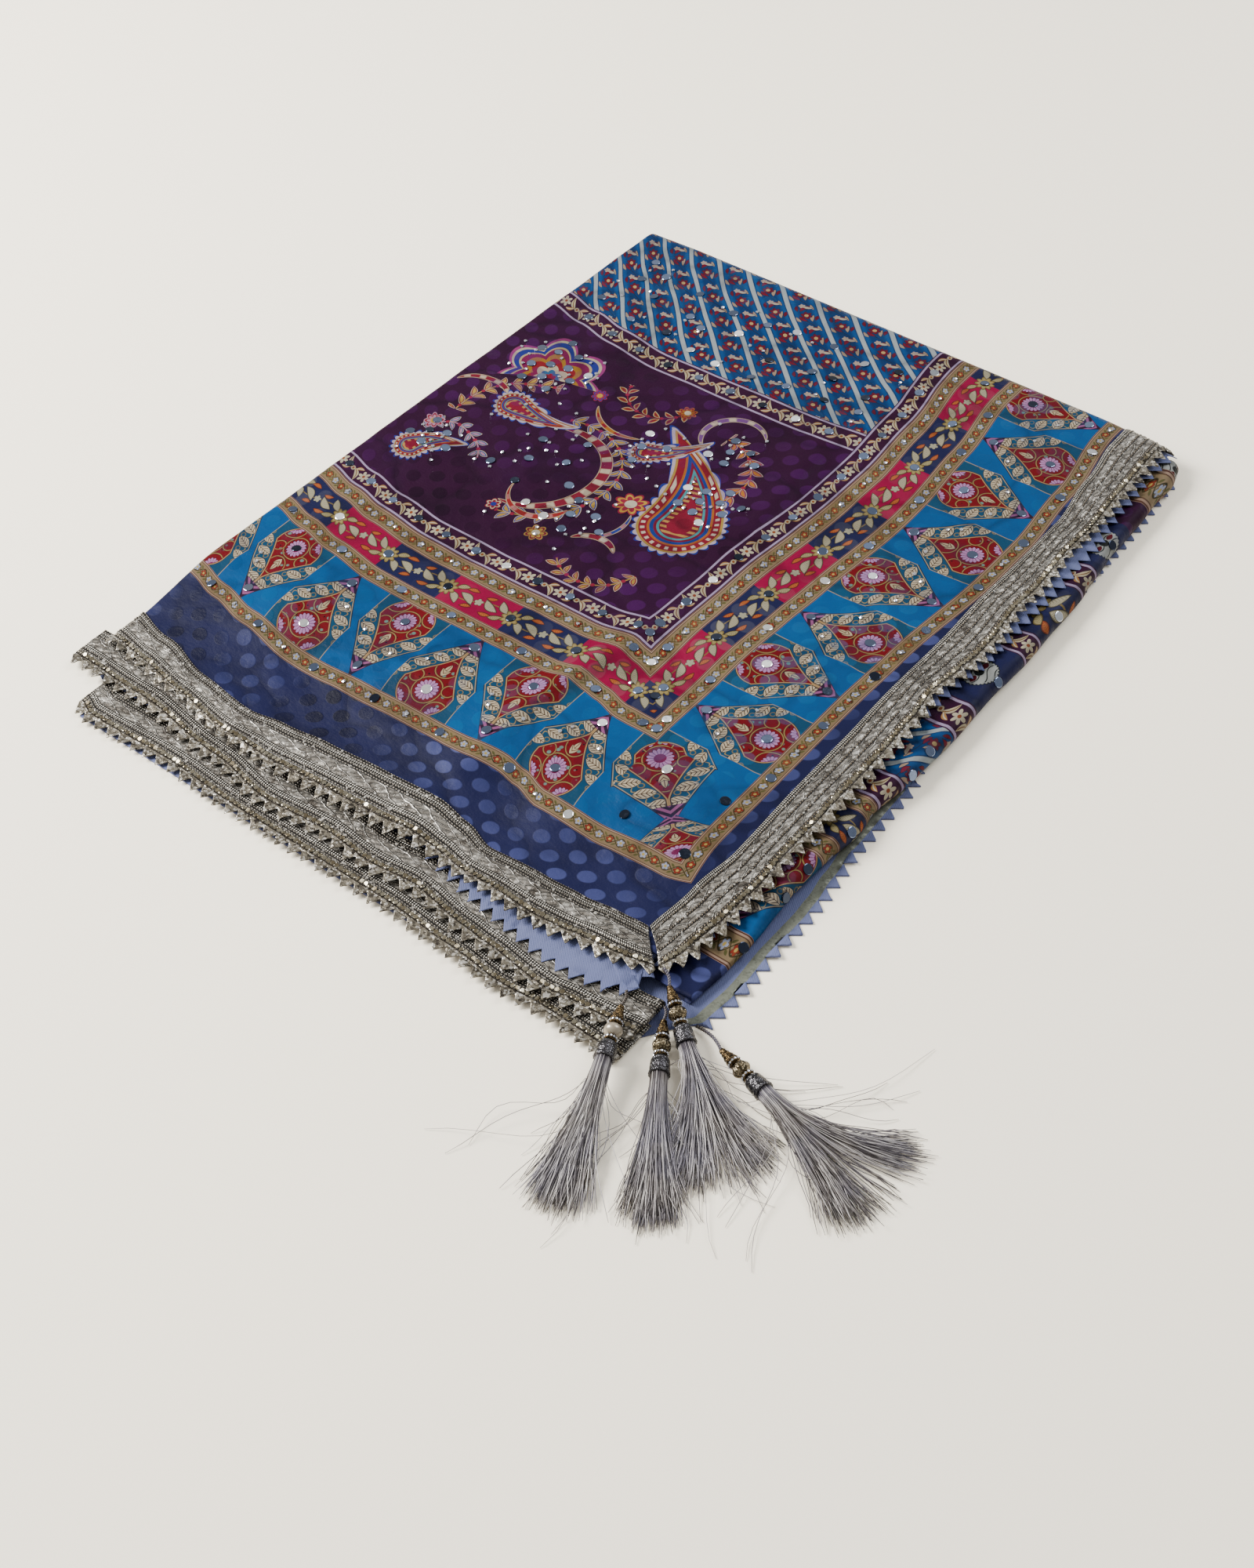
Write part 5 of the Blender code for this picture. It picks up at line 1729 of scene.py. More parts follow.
def roll_spot(y, degrees):
    """A point on the roll's outer face and the direction it faces."""
    line = roll_line(y)
    index = len(line) - ROLL_STEPS - 2 + ROLL_STEPS * degrees / 180
    low = int(index)
    share = index - low
    x = line[low][0] * (1 - share) + line[low + 1][0] * share
    z = line[low][1] * (1 - share) + line[low + 1][1] * share
    turn = math.radians(degrees)
    return place(x, y, z), Vector((math.sin(turn), 0.0, math.cos(turn)))


def mirrors_and_stones():
    """All the stick-on mirrors as one piece and all the small stones as another."""
    sizes = bpy.context.scene.stole_sizes
    mirrors, stones = mirror_spots()
    chance = random.Random(5)

    def tilted(normal, amount):
        return normal.normalized() + Vector((chance.gauss(0, amount), chance.gauss(0, amount), 0.0))

    # Each mirror's tone decides whether it is painted as a bright or a dark reflection, or left plain.
    matrices, tones = [], []
    for x, y in mirrors:
        matrices.append(frame_on(on_top(x, y, 0.02), tilted(top_normal(x, y), 0.07), chance.uniform(0, 3)))
        matrices[-1] = matrices[-1] @ Matrix.Scale(chance.uniform(0.9, 1.06), 4)
        tones.append(chance.random())
    for y, degrees in ROLL_MIRRORS:
        point, normal = roll_spot(y, degrees)
        matrices.append(frame_on(point, tilted(normal, 0.05)))
        tones.append(chance.random())
    pattern = disc_pattern(18, sizes.mirror / 2, "NGON", (0.49 * MM, 0.21 * MM), 0.88)
    piece = joined_copies("mirrors", pattern, matrices, finished("mirror_foil"), tones)
    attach(piece, "root")
    matrices = []
    for x, y in stones:
        matrices.append(frame_on(on_top(x, y, 0.5), tilted(top_normal(x, y), 0.15), chance.uniform(0, 3)))
    pattern = stone_pattern(sizes.stone / 2)
    small = joined_copies("stones", pattern, matrices, finished("cut_stone"))
    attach(small, "root")
    return piece, small


# Where each row of sequins starts and ends along its strip of lace.
SEQUIN_RUNS = ((top_end_spot, 6, 444), (top_side_spot, 6, 560), (third_spot, 2, 466), (fourth_spot, 2, 436))
SEQUINS_IN = 11.0
SEQUIN_PITCH = 3.3
SEQUIN_RADIUS = 1.6 * MM


def lace_sequins():
    """The row of sequins on each strip of lace, each disc tipped its own way."""
    chance = random.Random(3)
    pattern = disc_pattern(10, SEQUIN_RADIUS, "TRIFAN", (0.3 * MM,), 0.8)
    matrices = []
    for spot, start, end in SEQUIN_RUNS:
        run = start
        while run < end:
            point = spot(run, SEQUINS_IN, 0.5)
            normal = (spot(run, SEQUINS_IN + 0.5, 0.5) - point).cross(spot(run + 1, SEQUINS_IN, 0.5) - point)
            if normal.z < 0 and run < 540:
                normal = -normal
            normal = normal.normalized() + Vector((chance.gauss(0, 0.22), chance.gauss(0, 0.22), 0))
            matrices.append(frame_on(point, normal, chance.uniform(0, 3)))
            run += SEQUIN_PITCH
    piece = joined_copies("lace_sequin_row", pattern, matrices, finished("sequin"))
    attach(piece, "root")
    return piece


# Tassels, in metres: where each starts, its heading in degrees from +X, its fall per unit of length, the
# length of its string, the angles between which its threads fan out and the gap in the fan, and its bead.
TasselPlace = namedtuple("TasselPlace", "across along height heading slope string fan_from fan_to split bead")
TASSELS = (
    TasselPlace(0.002, 0.008, 0.0138, -38.0, 0.125, 0.012, -72.0, -10.0, 10.0, "melon"),
    TasselPlace(0.010, -0.015, 0.0112, -66.0, -0.020, 0.011, -84.0, -54.0, 0.0, "pearl"),
    TasselPlace(-0.0110, -0.008, 0.0060, -56.0, -0.030, 0.0095, -68.0, -42.0, 0.0, "melon"),
    TasselPlace(-0.031, -0.006, 0.0024, -16.0, -0.100, 0.022, -36.0, 24.0, 18.0, "melon"),
)
GAP = 0.0003
CONE_LENGTH = 0.010
BEADS_LENGTH = 0.0146
CAP_LENGTH = 0.012
HEAD_RADIUS = 0.0050
THREAD_LENGTH = 0.092


def tassel_axes(spot):
    """Where a tassel starts and its axes: along it, to its left and up."""
    start = Vector((RIGHT_X - spot.across, FRONT_Y + spot.along, spot.height))
    heading = math.radians(spot.heading)
    level = Vector((math.cos(heading), math.sin(heading), 0.0))
    forward = (level - Vector((0.0, 0.0, spot.slope))).normalized()
    left = Vector((-level.y, level.x, 0.0))
    return start, forward, left, forward.cross(left)


Flutes = namedtuple("Flutes", "count depth power low high")


def fluted(piece, flutes):
    """Draws a turned piece in between its flutes, ring by ring of points that lie at like turns."""
    groups = {}
    for vertex in piece.data.vertices:
        turn = math.atan2(vertex.co.y, vertex.co.x) * flutes.count / 2
        scale = round(1 - flutes.depth * abs(math.cos(turn)) ** flutes.power, 4)
        if flutes.low < vertex.co.z < flutes.high and scale < 1:
            groups.setdefault(scale, []).append(vertex.index)
    shown_alone(piece)
    for scale, chosen in groups.items():
        bpy.ops.object.mode_set(mode="EDIT")
        bpy.ops.mesh.select_all(action="DESELECT")
        bpy.ops.object.mode_set(mode="OBJECT")
        for index in chosen:
            piece.data.vertices[index].select = True
        bpy.ops.object.mode_set(mode="EDIT")
        bpy.ops.transform.resize(value=(scale, scale, 1.0), center_override=(0.0, 0.0, 0.0))
        bpy.ops.object.mode_set(mode="OBJECT")


def turned_piece(name, profile, segments, pinch=None):
    """A turned piece modelled from a circle, ring by ring: profile rows are (radius, height)."""
    bpy.ops.object.select_all(action="DESELECT")
    radius, height = profile[0]
    bpy.ops.mesh.primitive_circle_add(vertices=segments, radius=radius, location=(0, 0, height))
    piece = bpy.context.object
    piece.name = name
    bpy.ops.object.transform_apply(location=True, rotation=True, scale=True)
    bpy.ops.object.mode_set(mode="EDIT")
    bpy.ops.mesh.select_all(action="SELECT")
    bpy.ops.mesh.edge_face_add()
    bpy.ops.mesh.select_all(action="DESELECT")
    bpy.ops.object.mode_set(mode="OBJECT")
    for vertex in piece.data.vertices:
        vertex.select = True
    for edge in piece.data.edges:
        edge.select = True
    for face in piece.data.polygons:
        face.select = False
    bpy.ops.object.mode_set(mode="EDIT")
    bpy.context.tool_settings.mesh_select_mode = (False, True, False)
    for last, (radius, level) in zip(profile, profile[1:]):
        bpy.ops.mesh.extrude_edges_move(TRANSFORM_OT_translate={"value": (0, 0, level - last[1])})
        bpy.ops.transform.resize(value=(radius / last[0], radius / last[0], 1.0),
                                 center_override=(0.0, 0.0, level))
    bpy.ops.mesh.edge_face_add()
    bpy.context.tool_settings.mesh_select_mode = (True, False, False)
    close_outward()
    if pinch:
        fluted(piece, pinch)
    bpy.ops.object.shade_smooth()
    return piece


def placed(piece, matrix, material):
    """Puts a piece modelled along +Z where it belongs, with its object left at the origin."""
    piece.data.transform(matrix)
    piece.data.materials.clear()
    piece.data.materials.append(material)
    return piece


def joined(name, pieces):
    """Joins pieces into one, with its own name."""
    bpy.ops.object.select_all(action="DESELECT")
    for piece in pieces:
        piece.select_set(True)
    bpy.context.view_layer.objects.active = pieces[0]
    bpy.ops.object.join()
    whole = bpy.context.object
    whole.name = name
    whole.data.name = name
    return whole


PLY_RADIUS = 0.00055
PLY_OFFSET = 0.0005
PLY_PITCH = 0.0032
STRING_STEP = 0.0003


def string_piece(name, start, forward, left, size):
    """The doubled string: two plies twisted round each other."""
    up = forward.cross(left)
    plies = []
    steps = max(24, int(size / STRING_STEP))
    for phase in (0.0, math.pi):
        curve = bpy.data.curves.new(name, "CURVE")
        curve.dimensions = "3D"
        curve.bevel_depth = PLY_RADIUS
        curve.bevel_resolution = 2
        curve.use_fill_caps = True
        spline = curve.splines.new("POLY")
        spline.points.add(steps)
        for index, point in enumerate(spline.points):
            share = index / steps
            turn = phase + share * size / PLY_PITCH * 2 * math.pi
            sway = 0.0012 * math.sin(share * math.pi) * size / 0.012
            spot = start + forward * size * share + left * (sway + PLY_OFFSET * math.cos(turn))
            point.co = (*(spot + up * PLY_OFFSET * math.sin(turn)), 1.0)
        ply = bpy.data.objects.new(name, curve)
        bpy.context.scene.collection.objects.link(ply)
        shown_alone(ply)
        bpy.ops.object.convert(target="MESH")
        plies.append(bpy.context.object)
    return joined(name, plies)


BEAD_RADIUS = 0.0054
RONDELLE_HEIGHTS = (0.0014, 0.0131)
RONDELLE_RADIUS = 0.0039
RONDELLE_STONES = 13
RONDELLE_STONE_RADIUS = 0.00085
RONDELLE_PROFILE = (
    (0.0022, -0.0013), (0.0036, -0.0010), (0.0038, 0.0), (0.0036, 0.0010), (0.0022, 0.0013),
)


def bead_pieces(name, kind, matrix):
    """A bead between two rondelles set with small stones."""
    parts = []
    for height in RONDELLE_HEIGHTS:
        level = matrix @ Matrix.Translation((0, 0, height))
        core = turned_piece("rondelle", RONDELLE_PROFILE, 20)
        parts.append(placed(core, level, finished("bronze")))
        stone = stone_pattern(RONDELLE_STONE_RADIUS)
        ring = []
        for index in range(RONDELLE_STONES):
            turn = 2 * math.pi * index / RONDELLE_STONES
            spot = Matrix.Rotation(turn, 4, "Z") @ Matrix.Translation((RONDELLE_RADIUS, 0, 0))
            ring.append(level @ spot @ Matrix.Rotation(math.pi / 2, 4, "Y"))
        parts.append(joined_copies("stones_round", stone, ring, finished("cut_stone")))
    bpy.ops.object.select_all(action="DESELECT")
    bpy.ops.mesh.primitive_uv_sphere_add(segments=32, ring_count=16, radius=BEAD_RADIUS)
    bead = bpy.context.object
    open_all()
    bpy.ops.transform.resize(value=(1.0, 1.0, 0.80))
    bpy.ops.object.mode_set(mode="OBJECT")
    if kind == "melon":
        fluted(bead, Flutes(8, 0.13, 3, -0.01, 0.01))
    bpy.ops.object.shade_smooth()
    material = finished("pearl" if kind == "pearl" else "melon_bead")
    parts.append(placed(bead, matrix @ Matrix.Translation((0, 0, BEADS_LENGTH / 2)), material))
    return joined(name, parts)


def thread_end(rank, mouth, spot, chance):
    """Where one thread comes to rest, fanned out by its rank from right to left."""
    angle = spot.fan_from + (spot.fan_to - spot.fan_from) * rank
    if spot.split:
        angle += spot.split * (soft_step((rank - 0.5) / 0.10) - 0.5) * (1 - abs(2 * rank - 1))
    angle += chance.gauss(0, 2.2)
    reach = THREAD_LENGTH * (0.95 + chance.gauss(0, 0.055) - 0.12 * (2 * rank - 1) ** 2)
    turn = math.radians(angle)
    height = 0.0007 + 0.0026 * chance.random() ** 2
    return Vector((mouth.x + reach * math.cos(turn), mouth.y + reach * math.sin(turn), height))


# Kinds of strand: steps along it, radius in metres, where it bends, and how far it sways and ripples.
Strand = namedtuple("Strand", "steps radius knee sway ripple")
THREAD = Strand(11, 0.00026, 0.42, 1.0, 1.0)
STRAY = Strand(16, 0.00021, 0.25, 5.0, 4.0)
# The golden angle in radians, which spreads the strands evenly over the mouth of the cap.
GOLDEN_TURN = 2.399963
MOUTH_RADIUS = HEAD_RADIUS * 0.94
STRAY_SPREAD = 34


def strand_points(kind, root, knee, end, number, chance):
    """Points round one strand, along its bend from root to end, with slow and quick waves."""
    sway = chance.gauss(0, 0.0024) * kind.sway
    ripple = chance.gauss(0, 0.0012) * kind.ripple
    phase = chance.uniform(0, 6.28)
    run = end - root
    across = Vector((-run.y, run.x, 0.0)).normalized()
    points = []
    for step in range(kind.steps + 1):
        share = step / kind.steps
        point = root * (1 - share) ** 2 + knee * 2 * share * (1 - share) + end * share ** 2
        aside = sway * math.sin(share * 3.4 + phase) + ripple * math.sin(share * 11 + phase)
        point += across * aside * share
        point.z += 0.0007 * math.sin(share * 14 + phase) * share * (1 - share)
        point.z = max(0.0004, point.z)
        size = kind.radius * (1.0 if share < 0.95 else 0.6)
        for corner in range(3):
            bend = 2 * math.pi * corner / 3 + 0.6 * number
            points.append(point + across * size * math.cos(bend) + Vector((0, 0, size * math.sin(bend))))
    return points


def strand_faces(base, steps):
    """Faces of one three-sided strand, closed at both ends."""
    faces = []
    for step in range(steps):
        for corner in range(3):
            after = (corner + 1) % 3
            here, there = base + step * 3, base + step * 3 + 3
            faces.append((here + corner, here + after, there + after, there + corner))
    last = base + steps * 3
    return faces + [(base, base + 2, base + 1), (last, last + 1, last + 2)]


def thread_mesh(name, spot, mouth, forward, left, up, count, strays, seed):
    """The threads of a tassel: fine strands from the mouth of the cap to the ground, and a few strays."""
    chance = random.Random(seed)
    points, faces, tones = [], [], []
    for index in range(count + strays):
        kind = THREAD if index < count else STRAY
        turn = index * GOLDEN_TURN
        reach = MOUTH_RADIUS * math.sqrt((index % count + 0.5) / count)
        aside, rise = reach * math.cos(turn), reach * math.sin(turn)
        root = mouth + left * aside + up * rise
        rank = 0.5 + 0.5 * aside / MOUTH_RADIUS
        rank = min(1.0, max(0.0, rank * 0.86 + chance.uniform(0.0, 0.14)))
        end = thread_end(rank, mouth, spot, chance)
        if kind is STRAY:
            wide = math.radians(chance.uniform(spot.fan_from - STRAY_SPREAD, spot.fan_to + STRAY_SPREAD))
            far = THREAD_LENGTH * chance.uniform(0.55, 1.22)
            end = Vector((mouth.x + far * math.cos(wide), mouth.y + far * math.sin(wide), 0.0006))
        knee = root + forward * THREAD_LENGTH * kind.knee
        knee.z = max(0.0010, root.z * 0.80 + chance.gauss(0, 0.0006))
        strand = strand_points(kind, root, knee, end, index, chance)
        faces += strand_faces(len(points), kind.steps)
        points += strand
        tones += [chance.random()] * len(strand)
    piece = new_piece(name, points, faces, [finished("tassel_thread")], tones)
    shown_alone(piece)
    open_all()
    close_outward()
    bpy.ops.object.shade_smooth()
    return piece


CAP_PROFILE = (
    (0.0014, 0.0), (0.0034, 0.0004), (0.0047, 0.0014), (0.0053, 0.0030), (0.0050, 0.0038), (0.0055, 0.0044),
    (0.0056, 0.0085), (0.0052, 0.0091), (0.0057, 0.0098), (0.0061, 0.0120), (0.0055, 0.0121),
)
CONE_PROFILE = (
    (0.0015, 0.0), (0.0020, 0.0012), (0.0017, 0.0018), (0.0026, 0.0036), (0.0023, 0.0042), (0.0034, 0.0066),
    (0.0031, 0.0072), (0.0040, 0.0096), (0.0038, 0.0100),
)


def tassel(number, spot):
    """One tassel from its string to its threads."""
    sizes = bpy.context.scene.stole_sizes
    start, forward, left, up = tassel_axes(spot)
    turn = Matrix((left, up, forward)).transposed().to_4x4()
    made = {}

    def at(reach):
        return Matrix.Translation(start + forward * reach) @ turn

    string = string_piece(f"string_{number}", start, forward, left, spot.string)
    made["string"] = placed(string, Matrix.Identity(4), finished("tassel_string"))
    reach = spot.string + GAP
    cone = turned_piece(f"cone_{number}", CONE_PROFILE, 24, Flutes(16, 0.12, 2, 0.0015, 0.0098))
    made["cone"] = placed(cone, at(reach), finished("bronze"))
    reach += CONE_LENGTH + GAP
    made["beads"] = bead_pieces(f"beads_{number}", spot.bead, at(reach))
    reach += BEADS_LENGTH + GAP
    cap = turned_piece(f"cap_{number}", CAP_PROFILE, 32, Flutes(16, 0.05, 2, 0.0099, 0.0122))
    made["cap"] = placed(cap, at(reach), finished("silver_cap"))
    reach += CAP_LENGTH + GAP
    mouth = start + forward * (reach - 0.001)
    made["threads"] = thread_mesh(f"threads_{number}", spot, mouth, forward, left, up, sizes.threads,
                                  sizes.strays, 40 + number)
    for part, piece in made.items():
        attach(piece, "root")
        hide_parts(f"tassel_{number}_{part}")


def mirror_foil():
    """Silvered foil, a few painted bright and a few painted dark as painted reflections, with small
    scratches.
    """
    finish = Finish("mirror_foil", Metallic=1.0)
    tone = finish.attribute("tone")
    paint = Paint(finish.tree, linear("8090b0"), MIRROR_TONE)
    # A tenth of the mirrors painted brighter than white, as a painted reflection of the lamps, and some
    # painted dark, as a painted reflection of dark surroundings.
    paint.fill(tone - 0.90, (1.6, 1.65, 1.7, 1.0), 0.05)
    paint.fill(0.16 - tone, "3a4254", 0.05)
    paint.over((0.45 - finish.grain(300.0, 3.0)).ramp(4.0), "6a7488", 0.5)
    finish.colour(paint)
    finish.uneven(700.0, 0.12, 0.05)
    finish.bump(finish.grain(200.0, 2.0), 0.05)


def cut_stone():
    """Small silvered glass stones."""
    finish = Finish("cut_stone", Metallic=0.9)
    finish.colour(Paint(finish.tree, linear("8088a0")).fill(finish.grain(900.0), "c9ccd4", 0.8))
    finish.uneven(600.0, 0.15, 0.02)


def sequin():
    """Pale gold sequins, some of them brighter."""
    finish = Finish("sequin", Metallic=0.9)
    paint = Paint(finish.tree, linear("a7997c"), METAL_TONE)
    finish.colour(paint.fill(finish.cells(330.0, "Color") - 0.5, "cfc6ae"))
    finish.uneven(600.0, 0.2, 0.1)


def pearl():
    """A clouded pearl bead."""
    finish = Finish("pearl", Coat_Weight=0.8, Coat_Roughness=0.15, Metallic=0.35)
    paint = Paint(finish.tree, linear("b8a88f"), METAL_TONE)
    finish.colour(paint.fill(finish.grain(260.0, 3.0) - 0.5, "d8cbb4", 0.4))
    finish.uneven(500.0, 0.15, 0.22)


def old_metal(name, base, dark, light, rough):
    """Metal with bright worn spots and dark pits."""
    finish = Finish(name, Metallic=0.9)
    cells = finish.cells(900.0)
    paint = Paint(finish.tree, linear(base), METAL_TONE)
    paint.fill(0.28 - cells, light, 0.3, 0.7)
    paint.fill(cells - 0.55, dark, 0.3, 0.8)
    finish.colour(paint)
    finish.uneven(700.0, 0.3, rough)
    finish.bump(0 - cells, 0.35)


def silk_thread(name, base):
    """Lustrous thread, each strand a little lighter or darker than the next: partly a random tone, partly
    painted highlights along the threads and painted shade for the dark gaps between them.
    """
    finish = Finish(name, Metallic=0.25)
    tone = finish.attribute("tone")
    paint = Paint(finish.tree, base, THREAD_TONE)
    paint.fill(tone - 0.70, "fff8f2", 0.2, 0.85)
    paint.fill(0.36 - tone, "4a403a", 0.2, 0.85)
    paint.fill(finish.grain(45.0, 2.0) - 0.52, "8f8fae", 0.25, 0.35)
    finish.colour(paint)
    finish.uneven(900.0, 0.3, 0.25)


# Settings and operators


def colour(name, description, code):
    return FloatVectorProperty(name=name, description=description, subtype="COLOR", size=4, min=0, max=1,
                               default=linear(code))


class StoleColours(bpy.types.PropertyGroup):
    navy: colour("Navy", "The satin of the ends", "262a5c")
    blue: colour("Blue", "The ground of the medallion band", "0a66b0")
    panel: colour("Panel blue", "The ground of the striped panel", "0f58a0")
    purple: colour("Purple", "The ground of the paisley panel", "3c0838")
    aubergine: colour("Aubergine", "The ground of the vine border", "420e3a")
    magenta: colour("Magenta", "The magenta blocks", "b8004e")
    red: colour("Red", "The red drops", "8e0c1c")
    gold: colour("Gold", "The ground of the narrow borders", "a38a68")
    lavender: colour("Lavender", "The reverse of the satin", "8089b9")
    lace_gold: colour("Lace gold", "The chains of the braid in the lace", "8a7862")
    thread: colour("Thread", "Threads of the tassels", "a59d9c")
    floor: colour("Floor", "The pale surface under the stole", "fff6e2")


class StoleSizes(bpy.types.PropertyGroup):
    mirror: FloatProperty(name="Mirror", description="Width of a stick-on mirror", default=0.0068,
                          min=0.002, max=0.01, unit="LENGTH")
    stone: FloatProperty(name="Stone", description="Width of a small stone", default=0.0030,
                         min=0.001, max=0.005, unit="LENGTH")
    threads: IntProperty(name="Threads", description="Threads in each tassel", default=330, min=20, max=900)
    strays: IntProperty(name="Strays", description="Stray threads in each tassel", default=14, min=0, max=60)


class STOLE_OT_finishes(bpy.types.Operator):
    """Makes the materials of the cloth, the lace and the hard pieces"""
    bl_idname = "stole.finishes"
    bl_label = "Finishes"

    def execute(self, context):
        # After each satin's drawing: the colour of its painted sheen, the colour of its painted shade on dots
        # and crease lines, and how strongly its dots are painted.
        satin("navy_satin", draw_navy, "7079c4", "0c0d20", 0.8)
        satin("ochre_satin", draw_ochre, "d8b87a", "5c4020", 0.15)
        satin("medallion_satin", draw_medallion, "3a9be0", "052c50", 0.22)
        satin("blocks_satin", draw_blocks, "ffffff", "000000", 0.08)
        satin("vine_satin", draw_vine, "5a2a66", "0a0410", 0.3)
        satin("ground_satin", draw_ground, "6a1c80", "0c0112", 0.5)
        satin("diagonal_satin", draw_diagonal, "3a9be0", "05233f", 0.12)
        satin("roundel_satin", draw_roundel, "4a5090", "101020", 0.2)
        reverse_satin("lavender_reverse")
        colours = context.scene.stole_colours
        lace_chain("braid", 1.75, 13.4, 0.46, tuple(colours.lace_gold), "fff4e0")
        lace_chain("cord", 6.0, 12.9, 0.75, "3c2e20", "8c7a60")
        lace_silver()
        lace_sequin_ground()
        lace_crinkle()
        lace_foil()
        lace_back()
        mirror_foil()
        cut_stone()
        sequin()
        pearl()
        old_metal("melon_bead", "a89878", "3a2d1c", "e2d6ba", 0.12)
        old_metal("bronze", "7a6340", "22180e", "c2a572", 0.18)
        old_metal("silver_cap", "6e6c70", "4a484c", "9a999c", 0.06)
        silk_thread("tassel_thread", tuple(colours.thread))
        silk_thread("tassel_string", linear("8a7f72"))
        return {"FINISHED"}


class STOLE_OT_cloth(bpy.types.Operator):
    """Makes the layers of cloth that show and dresses the hidden ones"""
    bl_idname = "stole.cloth"
    bl_label = "Cloth"

    def execute(self, context):
        top_cloth()
        rolled_cloth()
        second_cloth()
        bottom_cloth()
        hidden_layers()
        return {"FINISHED"}


class STOLE_OT_lace(bpy.types.Operator):
    """Makes the four strips of gota lace that show, with their rows of sequins"""
    bl_idname = "stole.lace"
    bl_label = "Lace"

    def execute(self, context):
        end_lace = lace_piece("top_end_lace", "top_end_trim", END_ROWS, 0.5, 452.0, top_end_spot, 0.0)
        side_lace = lace_piece("top_side_lace", "top_side_trim", SIDE_ROWS, 0.5, 595.0, top_side_spot, 37.0)
        third = lace_piece("third_end_lace", "third_end_trim", END_ROWS, -5.0, 471.0, third_spot, 71.0)
        fourth = lace_piece("fourth_end_lace", "fourth_end_trim", END_ROWS, 0.0, 440.0, fourth_spot, 113.0)
        sequins = lace_sequins()
        return {"FINISHED"}


class STOLE_OT_mirrors(bpy.types.Operator):
    """Sets the mirrors and the small stones on the print"""
    bl_idname = "stole.mirrors"
    bl_label = "Mirrors"

    def execute(self, context):
        mirrors_and_stones()
        return {"FINISHED"}


class STOLE_OT_tassels(bpy.types.Operator):
    """Makes the four tassels at the corner"""
    bl_idname = "stole.tassels"
    bl_label = "Tassels"

    def execute(self, context):
        for number, spot in enumerate(TASSELS, start=1):
            tassel(number, spot)
        return {"FINISHED"}


FLOOR_SIZE = 14.0
SKY_TINT = (1.0, 0.985, 0.955, 1.0)
SKY_STRENGTH = 0.65
Lamp = namedtuple("Lamp", "name place towards size power tint")
LAMPS = (
    Lamp("key", (-1.7, -0.9, 1.6), (0.0, 0.0, 0.0), 1.2, 190.0, (1.0, 0.98, 0.95)),
    Lamp("fill", (0.9, 1.8, 2.1), (0.0, 0.1, 0.0), 1.6, 60.0, (0.95, 0.97, 1.0)),
    Lamp("sheen", (-1.1, 1.3, 1.5), (-0.1, -0.1, 0.0), 0.9, 1.5, (1.0, 1.0, 1.0)),
)
CAMERA_PLACE = Vector((0.711, -0.8895, 0.977))
CAMERA_YAW = math.radians(39.885)
CAMERA_PITCH = math.radians(46.278)
CAMERA_ROLL = math.radians(-2.0)
CAMERA_LENS = 51.87
SENSOR = 36.0


def pale_floor():
    """The pale surface under the stole."""
    bpy.ops.object.select_all(action="DESELECT")
    bpy.ops.mesh.primitive_plane_add(size=FLOOR_SIZE)
    floor = bpy.context.object
    floor.name = "floor"
    finish = Finish("pale_floor", Roughness=0.9, Specular_IOR_Level=0.1)
    paint = Paint(finish.tree, tuple(bpy.context.scene.stole_colours.floor))
    paint.over(finish.grain(3.0, 2.0), "f2efe8", 0.25)
    finish.colour(paint)
    floor.data.materials.append(finish.material)


def studio_light():
    """An even, warm sky and three soft lamps."""
    world = bpy.data.worlds.new("studio")
    world.use_nodes = True
    back = world.node_tree.nodes["Background"]
    back.inputs[0].default_value = SKY_TINT
    back.inputs[1].default_value = SKY_STRENGTH
    bpy.context.scene.world = world
    for row in LAMPS:
        light = bpy.data.lights.new(row.name, "AREA")
        light.size = row.size
        light.energy = row.power
        light.color = row.tint
        lamp = bpy.data.objects.new(row.name, light)
        lamp.location = row.place
        lamp.rotation_euler = (Vector(row.towards) - Vector(row.place)).to_track_quat("-Z", "Y").to_euler()
        bpy.context.scene.collection.objects.link(lamp)


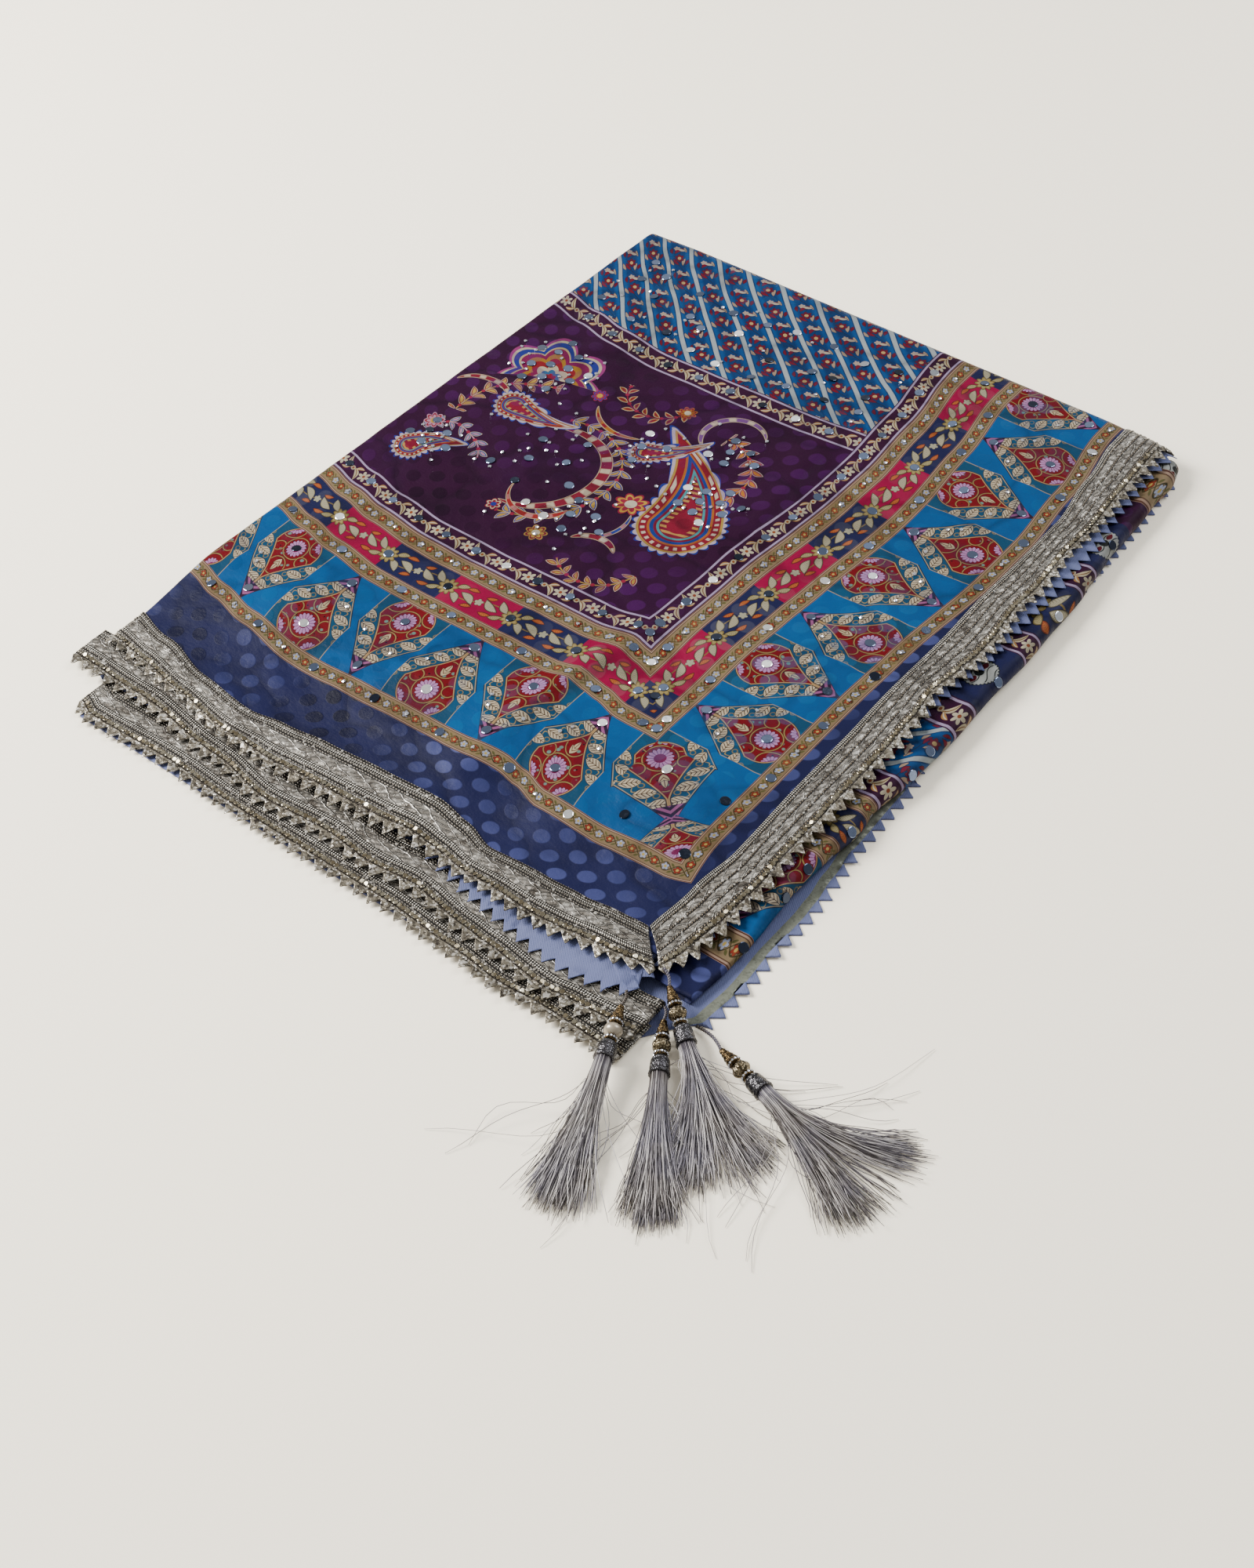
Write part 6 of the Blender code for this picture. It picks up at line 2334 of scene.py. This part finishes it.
def photo_camera():
    """The camera at the photo's angle."""
    forward = Vector((-math.sin(CAMERA_YAW) * math.cos(CAMERA_PITCH),
                      math.cos(CAMERA_YAW) * math.cos(CAMERA_PITCH), -math.sin(CAMERA_PITCH)))
    level = Vector((math.cos(CAMERA_YAW), math.sin(CAMERA_YAW), 0.0))
    up = level.cross(forward)
    right = math.cos(CAMERA_ROLL) * level + math.sin(CAMERA_ROLL) * up
    above = math.cos(CAMERA_ROLL) * up - math.sin(CAMERA_ROLL) * level
    lens = bpy.data.cameras.new("photo_view")
    lens.lens = CAMERA_LENS
    lens.sensor_width = SENSOR
    camera = bpy.data.objects.new("photo_view", lens)
    turn = Matrix((right, above, -forward)).transposed().to_4x4()
    camera.matrix_world = Matrix.Translation(CAMERA_PLACE) @ turn
    bpy.context.scene.collection.objects.link(camera)
    bpy.context.scene.camera = camera


class STOLE_OT_stage(bpy.types.Operator):
    """Makes the pale floor, the soft lights and the camera"""
    bl_idname = "stole.stage"
    bl_label = "Stage"

    def execute(self, context):
        pale_floor()
        studio_light()
        photo_camera()
        return {"FINISHED"}


OPERATORS = (STOLE_OT_finishes, STOLE_OT_stage, STOLE_OT_cloth, STOLE_OT_lace, STOLE_OT_mirrors,
             STOLE_OT_tassels)


class STOLE_PT_panel(bpy.types.Panel):
    """Lists the pieces of the stole and their settings"""
    bl_idname = "STOLE_PT_panel"
    bl_label = "Dupatta stole"
    bl_space_type = "VIEW_3D"
    bl_region_type = "UI"
    bl_category = "Stole"

    def draw(self, context):
        for group in (context.scene.stole_sizes, context.scene.stole_colours):
            for key in group.__annotations__:
                self.layout.prop(group, key)
        for operator in OPERATORS:
            self.layout.operator(operator.bl_idname)


CLASSES = (StoleColours, StoleSizes, *OPERATORS, STOLE_PT_panel)


def register():
    for item in CLASSES:
        bpy.utils.register_class(item)
    bpy.types.Scene.stole_colours = PointerProperty(type=StoleColours)
    bpy.types.Scene.stole_sizes = PointerProperty(type=StoleSizes)


def unregister():
    del bpy.types.Scene.stole_colours
    del bpy.types.Scene.stole_sizes
    for item in reversed(CLASSES):
        bpy.utils.unregister_class(item)


def main():
    register()
    bpy.ops.stole.finishes()
    bpy.ops.stole.stage()
    bpy.ops.stole.cloth()
    bpy.ops.stole.lace()
    bpy.ops.stole.mirrors()
    bpy.ops.stole.tassels()


if __name__ == "__main__":
    main()
